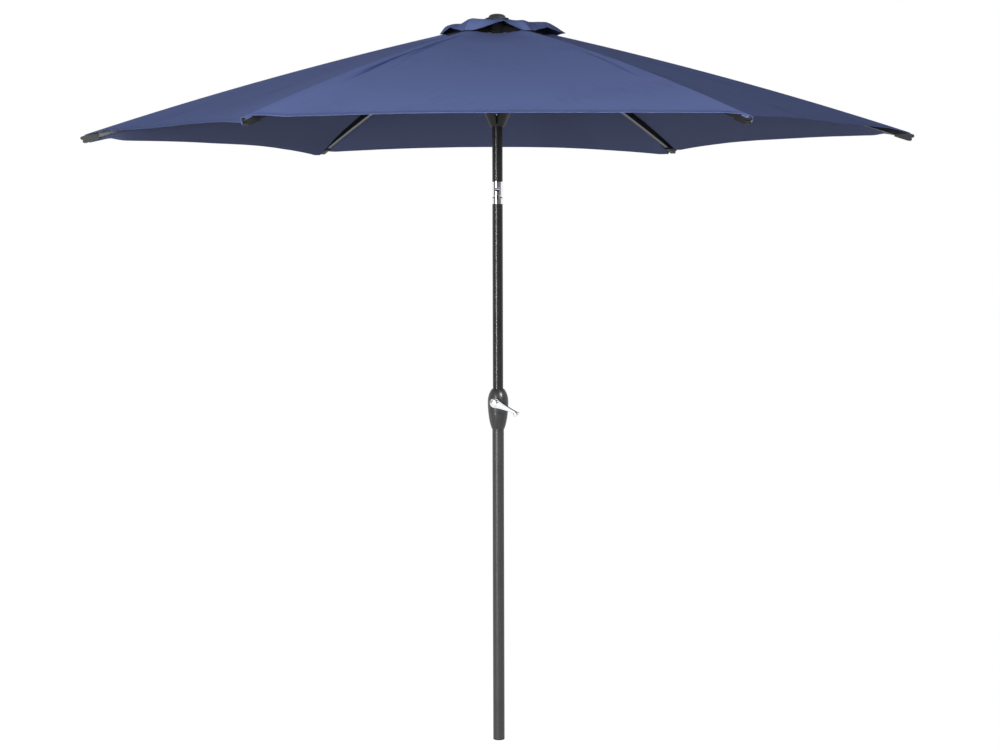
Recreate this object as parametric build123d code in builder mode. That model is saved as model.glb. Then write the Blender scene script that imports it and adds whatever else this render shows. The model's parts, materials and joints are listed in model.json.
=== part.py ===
from build123d import *
import os
from math import asin, atan2, cos, degrees, hypot, pi, radians, sin, tan

# A crank-lift patio umbrella with a push-button tilt, six ribs and a vented canopy.
# Millimetres, +Z up, origin at the middle of the pole's foot, rib 1 along +X.

os.makedirs("parts", exist_ok=True)

# Clearances
running_clearance = 0.3
fit_clearance = 0.1

# Poles
pole_wall = 1.5
middle_pole_diameter = 34
pole_joint_clearance = 0.5
pole_overlap = 110
pole_neck = 0.5
plug_flange = 4
plug_spigot = 25
plug_wall = 4
plug_chamfer = 1
grub_diameter = 5
grub_length = 3
grub_drop = 8

# Tilt joint
tilt_height = 1805
knuckle_diameter = 35
knuckle_reach = 36
knuckle_spigot = 40
tongue_width = 14
pivot_bolt_diameter = 6
bolt_head_diameter = 9
bolt_head_height = 3
bolt_head_inset = 1
cord_hole_diameter = 7
cord_hole_offset = 9.5
button_width = 5
button_height = 16
button_drop = 15
button_head = 6.5
button_stem_diameter = 3
button_stem = 6.8
button_stem_room = 1
button_travel = 3
button_spring_room = 4.3
button_spring_wire = 0.6
button_spring_turns = 2.5

# Crank housing, an egg of two half ellipses round the pole
shaft_height = 1123
pole_joint_below_shaft = 69
crank_turn_from_front = 15
housing_radius = 33.8
housing_rise = 53
housing_drop = 112
housing_wall = 2.5
housing_crown = 43
housing_skirt = 88
boss_radius = 15
post_radius = 3.8
post_offset = 24.2
post_heights = (15, -33)
housing_screw_diameter = 3
housing_screw_length = 20
housing_screw_head_diameter = 6
housing_screw_head = 2.5
housing_screw_depth = 8

# Crank shaft, spool and brake
shaft_diameter = 8
brake_drum_diameter = 13
brake_drum_length = 11
brake_wire = 1.6
brake_pitch = 2.1
brake_turns = 4
sleeve_wall = 2.2
sleeve_pole_gap = 2
drum_inset = 1
bush_wall = 2
bush_length = 6.4
spool_core_radius = 9
spool_flange_radius = 11
spool_flange = 2
spool_half_length = 10

# Crank handle
crank_length = 84
handle_angle = -23
handle_hub_radius = 16.5
handle_end_radius = 5.5
handle_thickness = 7
handle_edge = 1.5
cap_radius = 12
cap_height = 4.2
cap_stud_radius = 2.5
cap_stud = 6
knob_radius = 7
knob_neck_radius = 5
knob_length = 28
knob_edge = 2
knob_pin_diameter = 5
knob_pin_head_diameter = 8
knob_pin_head = 2

# Canopy frame linkage
rib_count = 6
hub_height = 2333
pivot_radius = 36
ring_wire = 4
ring_bend = 5
rib_width = 13
rib_depth = 20
rib_wall = 1.2
rib_length = 1327
rib_slope = 12.1
rib_bow_radius = 13200
strut_reach = 485
strut_drop = 21
strut_width = 10
strut_depth = 15
strut_wall = 1.4
strut_end_block = 14
bracket_wall = 2
bracket_length = 26
bracket_eye_radius = 6.5
rivet_diameter = 4
rivet_head_diameter = 7
rivet_head = 1.5

# Rib end caps
tip_socket = 25
tip_wall = 2
tip_floor = 4
tip_finger_radius = 5.5
tip_upper_finger = (29, 4)
tip_lower_finger = (25, -8)
tip_body = 14

# Top hub
crown_radius = 50
crown_drop = 13
crown_rise = 14
collar_wall = 4.5
collar_drop = 40
mast_top_drop = 20
slot_roof_gap = 1
cover_radius = 46
cover_seat_radius = 28
cover_ridge_gap = 1
cover_rim = 2
cover_rise = 15
pulley_radius = 11
pulley_width = 8
pulley_groove = 2
pulley_rim = 2.2
pulley_drop = 6
pulley_axle_diameter = 5
pulley_axle_length = 28
cord_exit_width = 6
finial_brim_radius = 38
finial_brim = 5
finial_edge = 1.5
finial_dome_radius = 25
finial_dome = 13.5
finial_stud_radius = 4
finial_stud = 10

# Runner
runner_clearance = 0.6
runner_foot_radius = 22.5
runner_foot_drop = 52
runner_radius = 43
runner_rim = 6
runner_slot_floor = 1
anchor_hole_diameter = 5
anchor_hole_drop = 18

# Canopy cloth
cloth = 0.8
canopy_inner_radius = 140
canopy_corner_inset = 12
hem_dip = 66
gore_gap = 0.3
vent_corner_radius = 211
vent_drop = 50
vent_arch_radius = 100
vent_arch_rise = 12


def add_round(plane, start, end, radius, mode=Mode.ADD):
    """A cylinder along the plane's normal between two distances from it."""
    with BuildSketch(plane.offset(start)) as disc:
        Circle(radius)
    extrude(disc.sketch, amount=end - start, mode=mode)


def front_plane(height):
    """An upright plane through the pole's axis that faces the front."""
    return Plane(origin=(0, 0, height), x_dir=(1, 0, 0), z_dir=(0, -1, 0))


def side_plane(height):
    """An upright plane through the pole's axis that faces right."""
    return Plane(origin=(0, 0, height), x_dir=(0, 1, 0), z_dir=(1, 0, 0))


def dome_arc_points(radius, height):
    """Three points of a shallow dome's section, from its rim to its crest."""
    ball = (radius**2 + height**2) / (2 * height)
    half_angle = asin(radius / ball) / 2
    halfway = (ball * sin(half_angle), height - ball + ball * cos(half_angle))
    return [(radius, 0), halfway, (0, height)]


def add_slots(width, inner, outer, bottom, top, mode=Mode.SUBTRACT):
    """One upright radial slot for each rib."""
    with BuildSketch(Plane.XY.offset(bottom)) as slots:
        with PolarLocations((inner + outer) / 2, rib_count):
            Rectangle(outer - inner, width)
    extrude(slots.sketch, amount=top - bottom, mode=mode)


def add_hexagon_band(middle, inward, outward, bottom, top, mode=Mode.SUBTRACT):
    """A straight-sided band round the axis, with one side square to each rib."""
    side_turn = 180 / rib_count
    with BuildSketch(Plane.XY.offset(bottom)) as band:
        RegularPolygon(middle + outward, rib_count, major_radius=False, rotation=side_turn)
        RegularPolygon(middle - inward, rib_count, major_radius=False, rotation=side_turn, mode=Mode.SUBTRACT)
    extrude(band.sketch, amount=top - bottom, mode=mode)


def write_around(piece, name):
    """Write one copy of a piece for each rib, turned about the mast."""
    for number in range(rib_count):
        turned = piece.rotate(Axis.Z, number * 360 / rib_count)
        turned.label = f"{name}_{number + 1}"
        export_step(turned, f"parts/{name}_{number + 1}.step")


# Poles and their levels
middle_pole_radius = middle_pole_diameter / 2
middle_bore_radius = middle_pole_radius - pole_wall
lower_bore_radius = middle_pole_radius + pole_joint_clearance
lower_pole_radius = lower_bore_radius + pole_wall
lower_neck_radius = lower_pole_radius - pole_neck
lower_pole_top = shaft_height - pole_joint_below_shaft
middle_pole_bottom = lower_pole_top - pole_overlap
middle_pole_top = tilt_height - knuckle_reach
mast_bottom = tilt_height + knuckle_reach
mast_top = hub_height - mast_top_drop
housing_top = shaft_height + housing_crown
housing_bottom = shaft_height - housing_skirt
grub_height = lower_pole_top - grub_drop

# The crank's own frame: x to the right, y up, normal out along the shaft
crank_azimuth = radians(crank_turn_from_front)
shaft_direction = (-sin(crank_azimuth), -cos(crank_azimuth), 0)
shaft_right = (cos(crank_azimuth), -sin(crank_azimuth), 0)
shaft_plane = Plane(origin=(0, 0, shaft_height), x_dir=shaft_right, z_dir=shaft_direction)

with BuildPart() as pole_foot_plug:
    Cylinder(lower_pole_radius, plug_flange, align=(Align.CENTER, Align.CENTER, Align.MIN))
    chamfer(pole_foot_plug.edges().group_by(Axis.Z)[0], plug_chamfer)
    add_round(Plane.XY, plug_flange, plug_flange + plug_spigot, lower_bore_radius - fit_clearance)
    add_round(Plane.XY, plug_flange, plug_flange + plug_spigot, lower_bore_radius - plug_wall, Mode.SUBTRACT)
pole_foot_plug.part.label = "pole_foot_plug"
export_step(pole_foot_plug.part, "parts/pole_foot_plug.step")

grub_plane = front_plane(grub_height)
grub_hole = grub_diameter / 2 + fit_clearance

# The lower pole is drawn in at its top, so that the crank housing stands on its shoulder
with BuildPart() as lower_pole:
    add_round(Plane.XY, plug_flange, housing_bottom, lower_pole_radius)
    add_round(Plane.XY, housing_bottom, lower_pole_top, lower_neck_radius)
    add_round(Plane.XY, plug_flange, lower_pole_top, lower_bore_radius, Mode.SUBTRACT)
    add_round(grub_plane, -2 * lower_pole_radius, 2 * lower_pole_radius, grub_hole, Mode.SUBTRACT)
lower_pole.part.label = "lower_pole"
export_step(lower_pole.part, "parts/lower_pole.step")

with BuildPart() as middle_pole:
    add_round(Plane.XY, middle_pole_bottom, middle_pole_top, middle_pole_radius)
    add_round(Plane.XY, middle_pole_bottom, middle_pole_top, middle_bore_radius, Mode.SUBTRACT)
    add_round(grub_plane, -2 * lower_pole_radius, 2 * lower_pole_radius, grub_hole, Mode.SUBTRACT)
    shaft_hole_radius = shaft_diameter / 2 + running_clearance
    add_round(shaft_plane, -2 * middle_pole_radius, 2 * middle_pole_radius, shaft_hole_radius, Mode.SUBTRACT)
middle_pole.part.label = "middle_pole"
export_step(middle_pole.part, "parts/middle_pole.step")

with BuildPart() as pole_joint_screws:
    grub_start = lower_neck_radius - grub_length
    add_round(grub_plane, grub_start, lower_neck_radius, grub_diameter / 2)
    add_round(grub_plane, -lower_neck_radius, -grub_start, grub_diameter / 2)
pole_joint_screws.part.label = "pole_joint_screws"
export_step(pole_joint_screws.part, "parts/pole_joint_screws.step")

# Tilt joint: a tongue on the pole between the two cheeks of a fork on the mast
knuckle_radius = knuckle_diameter / 2
half_tongue = tongue_width / 2
shoulder = knuckle_radius + running_clearance
spigot_radius = middle_bore_radius - fit_clearance
pivot_plane = side_plane(tilt_height)
button_middle = tilt_height - button_drop
button_front = knuckle_radius - running_clearance
button_plane = front_plane(button_middle)
cord_way = Plane(origin=(0, cord_hole_offset, 0), x_dir=(1, 0, 0), z_dir=(0, 0, 1))
spring_seat = button_front - button_head - button_spring_room
stem_end = button_front - button_head - button_stem

with BuildPart() as tilt_lower_knuckle:
    add_round(Plane.XY, tilt_height - knuckle_reach, tilt_height + knuckle_radius, knuckle_radius)
    with BuildSketch(pivot_plane) as above_tongue:
        with Locations((0, knuckle_radius)):
            Rectangle(3 * knuckle_radius, 2 * knuckle_radius)
        Circle(knuckle_radius, mode=Mode.SUBTRACT)
    extrude(amount=knuckle_diameter, both=True, mode=Mode.SUBTRACT)
    with BuildSketch(Plane.XY.offset(tilt_height - shoulder)) as beside_tongue:
        Rectangle(3 * knuckle_radius, 3 * knuckle_radius)
        Rectangle(tongue_width, 3 * knuckle_radius, mode=Mode.SUBTRACT)
    extrude(amount=2 * shoulder, mode=Mode.SUBTRACT)
    add_round(Plane.XY, middle_pole_top - knuckle_spigot, middle_pole_top, spigot_radius)
    pivot_hole = pivot_bolt_diameter / 2 + fit_clearance
    add_round(pivot_plane, -knuckle_diameter, knuckle_diameter, pivot_hole, Mode.SUBTRACT)
    spigot_bottom = middle_pole_top - knuckle_spigot
    add_round(cord_way, spigot_bottom, tilt_height + shoulder, cord_hole_diameter / 2, Mode.SUBTRACT)
    with BuildSketch(button_plane.offset(spring_seat)) as button_pocket:
        SlotOverall(
            button_height + 2 * running_clearance, button_width + 2 * running_clearance, rotation=90
        )
    extrude(amount=knuckle_radius, mode=Mode.SUBTRACT)
    stem_hole = button_stem_diameter / 2 + running_clearance
    stem_floor = stem_end - button_travel - button_stem_room
    add_round(button_plane, stem_floor, spring_seat, stem_hole, Mode.SUBTRACT)
tilt_lower_knuckle.part.label = "tilt_lower_knuckle"
export_step(tilt_lower_knuckle.part, "parts/tilt_lower_knuckle.step")

bolt_head_end = knuckle_radius - bolt_head_inset
bolt_head_start = bolt_head_end - bolt_head_height
with BuildPart() as tilt_pivot_bolt:
    add_round(pivot_plane, -bolt_head_end, bolt_head_end, pivot_bolt_diameter / 2)
    add_round(pivot_plane, bolt_head_start, bolt_head_end, bolt_head_diameter / 2)
    add_round(pivot_plane, -bolt_head_end, -bolt_head_start, bolt_head_diameter / 2)
tilt_pivot_bolt.part.label = "tilt_pivot_bolt"
export_step(tilt_pivot_bolt.part, "parts/tilt_pivot_bolt.step")

with BuildPart() as tilt_upper_knuckle:
    add_round(Plane.XY, tilt_height - knuckle_radius, mast_bottom, knuckle_radius)
    with BuildSketch(pivot_plane) as below_cheeks:
        with Locations((0, -knuckle_radius)):
            Rectangle(3 * knuckle_radius, 2 * knuckle_radius)
        Circle(knuckle_radius, mode=Mode.SUBTRACT)
    extrude(amount=knuckle_diameter, both=True, mode=Mode.SUBTRACT)
    with BuildSketch(Plane.XY.offset(tilt_height - shoulder)) as fork_slot:
        Rectangle(tongue_width + 2 * running_clearance, 3 * knuckle_radius)
    extrude(amount=2 * shoulder, mode=Mode.SUBTRACT)
    add_round(Plane.XY, mast_bottom, mast_bottom + knuckle_spigot, spigot_radius)
    bolt_hole = pivot_bolt_diameter / 2 + running_clearance
    head_hole = bolt_head_diameter / 2 + running_clearance
    head_seat = bolt_head_start - running_clearance
    add_round(pivot_plane, -knuckle_diameter, knuckle_diameter, bolt_hole, Mode.SUBTRACT)
    add_round(pivot_plane, head_seat, knuckle_diameter, head_hole, Mode.SUBTRACT)
    add_round(pivot_plane, -knuckle_diameter, -head_seat, head_hole, Mode.SUBTRACT)
    add_round(cord_way, tilt_height, mast_bottom + knuckle_spigot, cord_hole_diameter / 2, Mode.SUBTRACT)
tilt_upper_knuckle.part.label = "tilt_upper_knuckle"
export_step(tilt_upper_knuckle.part, "parts/tilt_upper_knuckle.step")

with BuildPart() as tilt_button:
    with BuildSketch(button_plane.offset(button_front - button_head)) as button_face:
        SlotOverall(button_height, button_width, rotation=90)
    extrude(amount=button_head)
    add_round(button_plane, stem_end, button_front - button_head, button_stem_diameter / 2)
tilt_button.part.label = "tilt_button"
export_step(tilt_button.part, "parts/tilt_button.step")

button_coil_radius = button_stem_diameter / 2 + running_clearance + button_spring_wire / 2
button_coil_length = button_spring_room - button_spring_wire - 2 * fit_clearance
button_coil_start = button_plane.offset(spring_seat + fit_clearance + button_spring_wire / 2)
with BuildPart() as tilt_button_spring:
    with BuildLine() as button_coil:
        Helix(
            button_coil_length / button_spring_turns,
            button_coil_length,
            button_coil_radius,
            center=button_coil_start.origin,
            direction=button_plane.z_dir,
        )
    with BuildSketch(Plane(origin=button_coil.line @ 0, z_dir=button_coil.line % 0)):
        Circle(button_spring_wire / 2)
    sweep(path=button_coil.line, is_frenet=True)
tilt_button_spring.part.label = "tilt_button_spring"
export_step(tilt_button_spring.part, "parts/tilt_button_spring.step")

# Crank housing: two halves that close round the poles
drum_radius = brake_drum_diameter / 2
brake_coil_radius = drum_radius + running_clearance + brake_wire / 2
recess_radius = brake_coil_radius + brake_wire / 2 + running_clearance
sleeve_radius = recess_radius + sleeve_wall
sleeve_start = middle_pole_radius + sleeve_pole_gap
drum_start = sleeve_start + drum_inset
drum_end = drum_start + brake_drum_length
bush_start = drum_end + 2 * running_clearance
boss_face = bush_start + bush_length
shaft_radius = shaft_diameter / 2
bush_bore = shaft_radius + running_clearance
bush_radius = bush_bore + bush_wall
bush_hole = bush_radius + fit_clearance
rear_sleeve_radius = bush_radius + sleeve_wall
rear_bush_end = -(sleeve_start + bush_length)


def egg_side(radius, rise, drop):
    """Points up the side of the egg, between the housing's two ends."""
    high = asin((housing_top - shaft_height) / rise)
    low = asin((shaft_height - housing_bottom) / drop)
    below = [(radius * cos(low * i / 6), shaft_height - drop * sin(low * i / 6)) for i in range(6, 0, -1)]
    above = [(radius * cos(high * i / 6), shaft_height + rise * sin(high * i / 6)) for i in range(7)]
    return below + above


def add_egg(radius, rise, drop):
    """A body of revolution round the pole, widest at the shaft."""
    with BuildSketch(Plane.XZ) as outline:
        with BuildLine():
            side = Spline(*egg_side(radius, rise, drop))
            Polyline(side @ 1, (0, housing_top), (0, housing_bottom), side @ 0)
        make_face()
    revolve(outline.sketch, axis=Axis.Z)


def screw_post_places():
    """Where the housing screws stand, in the crank's own frame."""
    return [(side * post_offset, height) for side in (-1, 1) for height in post_heights]


with BuildPart() as housing_hollow:
    add_egg(housing_radius - housing_wall, housing_rise - housing_wall, housing_drop - housing_wall)
    with BuildSketch(shaft_plane.offset(-housing_radius)) as posts:
        with Locations(*screw_post_places()):
            Circle(post_radius)
    extrude(amount=2 * housing_radius, mode=Mode.SUBTRACT)
    add_round(shaft_plane, sleeve_start, boss_face, sleeve_radius, Mode.SUBTRACT)
    add_round(shaft_plane, -housing_radius, -sleeve_start, rear_sleeve_radius, Mode.SUBTRACT)

with BuildPart() as crank_housing:
    add_egg(housing_radius, housing_rise, housing_drop)
    add_round(shaft_plane, middle_pole_radius, boss_face, boss_radius)
    add(housing_hollow.part, mode=Mode.SUBTRACT)
    lower_fit = lower_neck_radius + fit_clearance
    add_round(Plane.XY, housing_bottom, lower_pole_top + fit_clearance, lower_fit, Mode.SUBTRACT)
    add_round(Plane.XY, housing_bottom, housing_top, middle_pole_radius + fit_clearance, Mode.SUBTRACT)
    add_round(shaft_plane, sleeve_start, bush_start, recess_radius, Mode.SUBTRACT)
    add_round(shaft_plane, bush_start, boss_face, bush_hole, Mode.SUBTRACT)
    add_round(shaft_plane, rear_bush_end, -sleeve_start, bush_hole, Mode.SUBTRACT)
    with BuildSketch(shaft_plane.offset(-housing_radius)) as screw_heads:
        with Locations(*screw_post_places()):
            Circle(housing_screw_head_diameter / 2 + fit_clearance)
    extrude(amount=housing_radius - housing_screw_depth, mode=Mode.SUBTRACT)
    with BuildSketch(shaft_plane.offset(-housing_screw_depth)) as screw_holes:
        with Locations(*screw_post_places()):
            Circle(housing_screw_diameter / 2 + fit_clearance)
    extrude(amount=housing_screw_length, mode=Mode.SUBTRACT)

with BuildPart() as crank_housing_front:
    add(crank_housing.part)
    split(bisect_by=shaft_plane, keep=Keep.TOP)
crank_housing_front.part.label = "crank_housing_front"
export_step(crank_housing_front.part, "parts/crank_housing_front.step")

with BuildPart() as crank_housing_rear:
    add(crank_housing.part)
    split(bisect_by=shaft_plane, keep=Keep.BOTTOM)
crank_housing_rear.part.label = "crank_housing_rear"
export_step(crank_housing_rear.part, "parts/crank_housing_rear.step")

with BuildPart() as housing_screws:
    with BuildSketch(shaft_plane.offset(-housing_screw_depth)) as screw_shanks:
        with Locations(*screw_post_places()):
            Circle(housing_screw_diameter / 2)
    extrude(amount=housing_screw_length - fit_clearance)
    with BuildSketch(shaft_plane.offset(-housing_screw_depth)) as screw_head_faces:
        with Locations(*screw_post_places()):
            Circle(housing_screw_head_diameter / 2)
    extrude(amount=-housing_screw_head)
housing_screws.part.label = "housing_screws"
export_step(housing_screws.part, "parts/housing_screws.step")

with BuildPart() as shaft_bushes:
    add_round(shaft_plane, bush_start, boss_face, bush_radius)
    add_round(shaft_plane, -sleeve_start - bush_length, -sleeve_start, bush_radius)
    add_round(shaft_plane, -boss_face, boss_face, bush_bore, Mode.SUBTRACT)
shaft_bushes.part.label = "shaft_bushes"
export_step(shaft_bushes.part, "parts/shaft_bushes.step")

brake_coil_start = shaft_plane.offset(drum_start + brake_wire)
with BuildPart() as brake_spring:
    with BuildLine() as brake_coil:
        Helix(
            brake_pitch,
            brake_pitch * brake_turns,
            brake_coil_radius,
            center=brake_coil_start.origin,
            direction=shaft_plane.z_dir,
        )
    with BuildSketch(Plane(origin=brake_coil.line @ 0, z_dir=brake_coil.line % 0)):
        Circle(brake_wire / 2)
    sweep(path=brake_coil.line, is_frenet=True)
brake_spring.part.label = "brake_spring"
export_step(brake_spring.part, "parts/brake_spring.step")

# Crank: the shaft and everything that turns with it
handle_back = boss_face + running_clearance
handle_front = handle_back + handle_thickness
shaft_rear = rear_bush_end + running_clearance

with BuildPart() as crank_shaft:
    add_round(shaft_plane, shaft_rear, handle_front, shaft_radius)
    add_round(shaft_plane, drum_start, drum_end, drum_radius)
    stud_hole = cap_stud_radius + fit_clearance
    add_round(shaft_plane, handle_front - cap_stud, handle_front, stud_hole, Mode.SUBTRACT)
crank_shaft.part.label = "crank_shaft"
export_step(crank_shaft.part, "parts/crank_shaft.step")

with BuildPart() as cord_spool:
    add_round(shaft_plane, -spool_half_length, spool_half_length, spool_core_radius)
    add_round(shaft_plane, spool_half_length - spool_flange, spool_half_length, spool_flange_radius)
    add_round(shaft_plane, -spool_half_length, -spool_half_length + spool_flange, spool_flange_radius)
    spool_bore = shaft_radius + fit_clearance
    add_round(shaft_plane, -spool_half_length, spool_half_length, spool_bore, Mode.SUBTRACT)
cord_spool.part.label = "cord_spool"
export_step(cord_spool.part, "parts/cord_spool.step")

handle_end = (crank_length * cos(radians(handle_angle)), crank_length * sin(radians(handle_angle)))
knob_plane = Plane(
    origin=shaft_plane.from_local_coords((*handle_end, 0)), x_dir=shaft_right, z_dir=shaft_direction
)

with BuildPart() as crank_handle:
    with BuildSketch(shaft_plane.offset(handle_back)) as handle_outline:
        Circle(handle_hub_radius)
        with Locations(handle_end):
            Circle(handle_end_radius)
        make_hull()
    extrude(amount=handle_thickness)
    fillet(crank_handle.edges().group_by(Axis(shaft_plane.origin, shaft_direction))[-1], handle_edge)
    add_round(shaft_plane, handle_back, handle_front, shaft_radius + fit_clearance, Mode.SUBTRACT)
    add_round(knob_plane, handle_back, handle_front, knob_pin_diameter / 2 + fit_clearance, Mode.SUBTRACT)
crank_handle.part.label = "crank_handle"
export_step(crank_handle.part, "parts/crank_handle.step")

with BuildPart() as handle_cap:
    cap_plane = Plane(
        origin=shaft_plane.offset(handle_front).origin, x_dir=shaft_right, z_dir=(0, 0, -1)
    )
    with BuildSketch(cap_plane) as cap_dome:
        with BuildLine():
            cap_arc = ThreePointArc(*dome_arc_points(cap_radius, cap_height))
            Polyline(cap_arc @ 1, (0, 0), cap_arc @ 0)
        make_face()
    revolve(axis=Axis(shaft_plane.origin, shaft_direction))
    add_round(shaft_plane, handle_front - cap_stud + fit_clearance, handle_front, cap_stud_radius)
handle_cap.part.label = "handle_cap"
export_step(handle_cap.part, "parts/handle_cap.step")

knob_start = handle_front + running_clearance
knob_end = knob_start + knob_length
pin_head_end = knob_end - running_clearance
pin_head_start = pin_head_end - knob_pin_head

with BuildPart() as knob_pin:
    add_round(knob_plane, handle_back, pin_head_end, knob_pin_diameter / 2)
    add_round(knob_plane, pin_head_start, pin_head_end, knob_pin_head_diameter / 2)
knob_pin.part.label = "knob_pin"
export_step(knob_pin.part, "parts/knob_pin.step")

with BuildPart() as handle_knob:
    with BuildSketch(knob_plane.offset(knob_start)) as knob_neck:
        Circle(knob_neck_radius)
    with BuildSketch(knob_plane.offset(knob_end)) as knob_face:
        Circle(knob_radius)
    loft()
    fillet(handle_knob.edges().group_by(Axis(knob_plane.origin, shaft_direction))[-1], knob_edge)
    knob_bore = knob_pin_diameter / 2 + running_clearance
    knob_counterbore = knob_pin_head_diameter / 2 + running_clearance
    add_round(knob_plane, knob_start, knob_end, knob_bore, Mode.SUBTRACT)
    add_round(knob_plane, pin_head_start - running_clearance, knob_end, knob_counterbore, Mode.SUBTRACT)
handle_knob.part.label = "handle_knob"
export_step(handle_knob.part, "parts/handle_knob.step")

# Mast, top hub and finial
crown_top = hub_height + crown_rise
crown_bottom = hub_height - crown_drop
collar_radius = middle_pole_radius + collar_wall
slot_inner = pivot_radius - rib_depth / 2 - slot_roof_gap
slot_roof = hub_height + rib_depth / 2 + slot_roof_gap
rib_slot_width = rib_width + 2 * running_clearance
groove_play = running_clearance + ring_bend * (1 - cos(pi / rib_count))
groove_half = ring_wire / 2 + groove_play
pulley_height = hub_height - pulley_drop
pulley_plane = Plane(origin=(0, pulley_radius, pulley_height), x_dir=(0, 1, 0), z_dir=(1, 0, 0))
half_axle = pulley_axle_length / 2
half_pulley = pulley_width / 2
vent_seat = crown_top + cover_rise

with BuildPart() as mast_tube:
    add_round(Plane.XY, mast_bottom, mast_top, middle_pole_radius)
    add_round(Plane.XY, mast_bottom, mast_top, middle_bore_radius, Mode.SUBTRACT)
mast_tube.part.label = "mast_tube"
export_step(mast_tube.part, "parts/mast_tube.step")

with BuildPart() as top_hub:
    add_round(Plane.XY, crown_bottom, crown_top, crown_radius)
    add_round(Plane.XY, hub_height - collar_drop, crown_bottom, collar_radius)
    add_slots(rib_slot_width, slot_inner, 2 * crown_radius, crown_bottom, slot_roof)
    add_hexagon_band(
        pivot_radius, groove_half, groove_half, hub_height - ring_wire / 2 - fit_clearance, crown_top
    )
    add_round(Plane.XY, hub_height - collar_drop, mast_top, middle_pole_radius + fit_clearance, Mode.SUBTRACT)
    # The way for the cord: over the pulley and down outside the mast
    pulley_room = 2 * (pulley_radius + running_clearance)
    with BuildSketch(Plane.XY.offset(mast_top)) as pulley_well:
        with Locations((0, pulley_radius)):
            Rectangle(pulley_width + 2 * running_clearance, pulley_room)
    extrude(amount=crown_top - mast_top, mode=Mode.SUBTRACT)
    with BuildSketch(Plane.XY.offset(hub_height - collar_drop)) as cord_exit:
        with Locations((0, pulley_radius)):
            Rectangle(cord_exit_width, pulley_room)
    extrude(amount=collar_drop - mast_top_drop, mode=Mode.SUBTRACT)
    with BuildSketch(Plane.XY.offset(pulley_height - pulley_axle_diameter / 2)) as axle_slot:
        with Locations((0, pulley_radius)):
            Rectangle(pulley_axle_length + 2 * fit_clearance, pulley_axle_diameter + 2 * fit_clearance)
    extrude(amount=crown_top - pulley_height + pulley_axle_diameter / 2, mode=Mode.SUBTRACT)
top_hub.part.label = "top_hub"
export_step(top_hub.part, "parts/top_hub.step")


def ring_corners(height):
    """The corners of a hexagon of wire, with one straight side square to each rib."""
    corner_reach = pivot_radius / cos(pi / rib_count)
    corners = []
    for number in range(rib_count):
        angle = (2 * number + 1) * pi / rib_count
        corners.append((corner_reach * cos(angle), corner_reach * sin(angle), height))
    return corners


with BuildPart() as hub_ring:
    with BuildLine() as hub_ring_line:
        FilletPolyline(*ring_corners(hub_height), radius=ring_bend, close=True)
    with BuildSketch(Plane(origin=hub_ring_line.line @ 0, z_dir=hub_ring_line.line % 0)):
        Circle(ring_wire / 2)
    sweep(path=hub_ring_line.line)
hub_ring.part.label = "hub_ring"
export_step(hub_ring.part, "parts/hub_ring.step")

with BuildPart() as hub_cover:
    with BuildSketch(Plane.XZ) as cover_profile:
        Polygon(
            (0, crown_top),
            (cover_radius, crown_top),
            (cover_radius, crown_top + cover_rim),
            (cover_seat_radius, vent_seat),
            (0, vent_seat),
            align=None,
        )
    revolve(axis=Axis.Z)
    ridge_bottom = hub_height + ring_wire / 2 + fit_clearance
    add_hexagon_band(pivot_radius, ring_wire / 2, ring_wire / 2, ridge_bottom, crown_top, Mode.ADD)
    add_slots(rib_slot_width + 2 * cover_ridge_gap, slot_inner, cover_radius, hub_height, crown_top)
    finial_socket = vent_seat - finial_stud - fit_clearance
    add_round(Plane.XY, finial_socket, vent_seat, finial_stud_radius + fit_clearance, Mode.SUBTRACT)
hub_cover.part.label = "hub_cover"
export_step(hub_cover.part, "parts/hub_cover.step")

with BuildPart() as pulley_axle:
    add_round(pulley_plane, -half_axle, half_axle, pulley_axle_diameter / 2)
pulley_axle.part.label = "pulley_axle"
export_step(pulley_axle.part, "parts/pulley_axle.step")

with BuildPart() as hub_pulley:
    add_round(pulley_plane, -half_pulley, half_pulley, pulley_radius - pulley_groove)
    add_round(pulley_plane, -half_pulley, -half_pulley + pulley_rim, pulley_radius)
    add_round(pulley_plane, half_pulley - pulley_rim, half_pulley, pulley_radius)
    pulley_bore = pulley_axle_diameter / 2 + running_clearance
    add_round(pulley_plane, -half_pulley, half_pulley, pulley_bore, Mode.SUBTRACT)
hub_pulley.part.label = "hub_pulley"
export_step(hub_pulley.part, "parts/hub_pulley.step")

finial_seat = vent_seat + cloth + 2 * fit_clearance
with BuildPart() as finial:
    add_round(Plane.XY, finial_seat, finial_seat + finial_brim, finial_brim_radius)
    fillet(finial.edges(), finial_edge)
    with BuildSketch(front_plane(finial_seat + finial_brim)) as finial_section:
        with BuildLine():
            finial_arc = ThreePointArc(*dome_arc_points(finial_dome_radius, finial_dome))
            Polyline(finial_arc @ 1, (0, 0), finial_arc @ 0)
        make_face()
    revolve(axis=Axis.Z)
    add_round(Plane.XY, vent_seat - finial_stud, finial_seat, finial_stud_radius)
finial.part.label = "finial"
export_step(finial.part, "parts/finial.step")

# The linkage: hub pivot, strut pivot on the rib and runner pivot make an isosceles triangle,
# so the runner stays on the mast at every fold angle.
bow_start = radians(rib_slope)
bow_x = pivot_radius - rib_bow_radius * sin(bow_start)
bow_z = hub_height - rib_bow_radius * cos(bow_start)


def rib_point(distance, above):
    """A point along the rib's bow from the hub pivot, and above its centre line, as (x, z)."""
    angle = bow_start + distance / rib_bow_radius
    reach = rib_bow_radius + above
    return (bow_x + reach * sin(angle), bow_z + reach * cos(angle))


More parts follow.
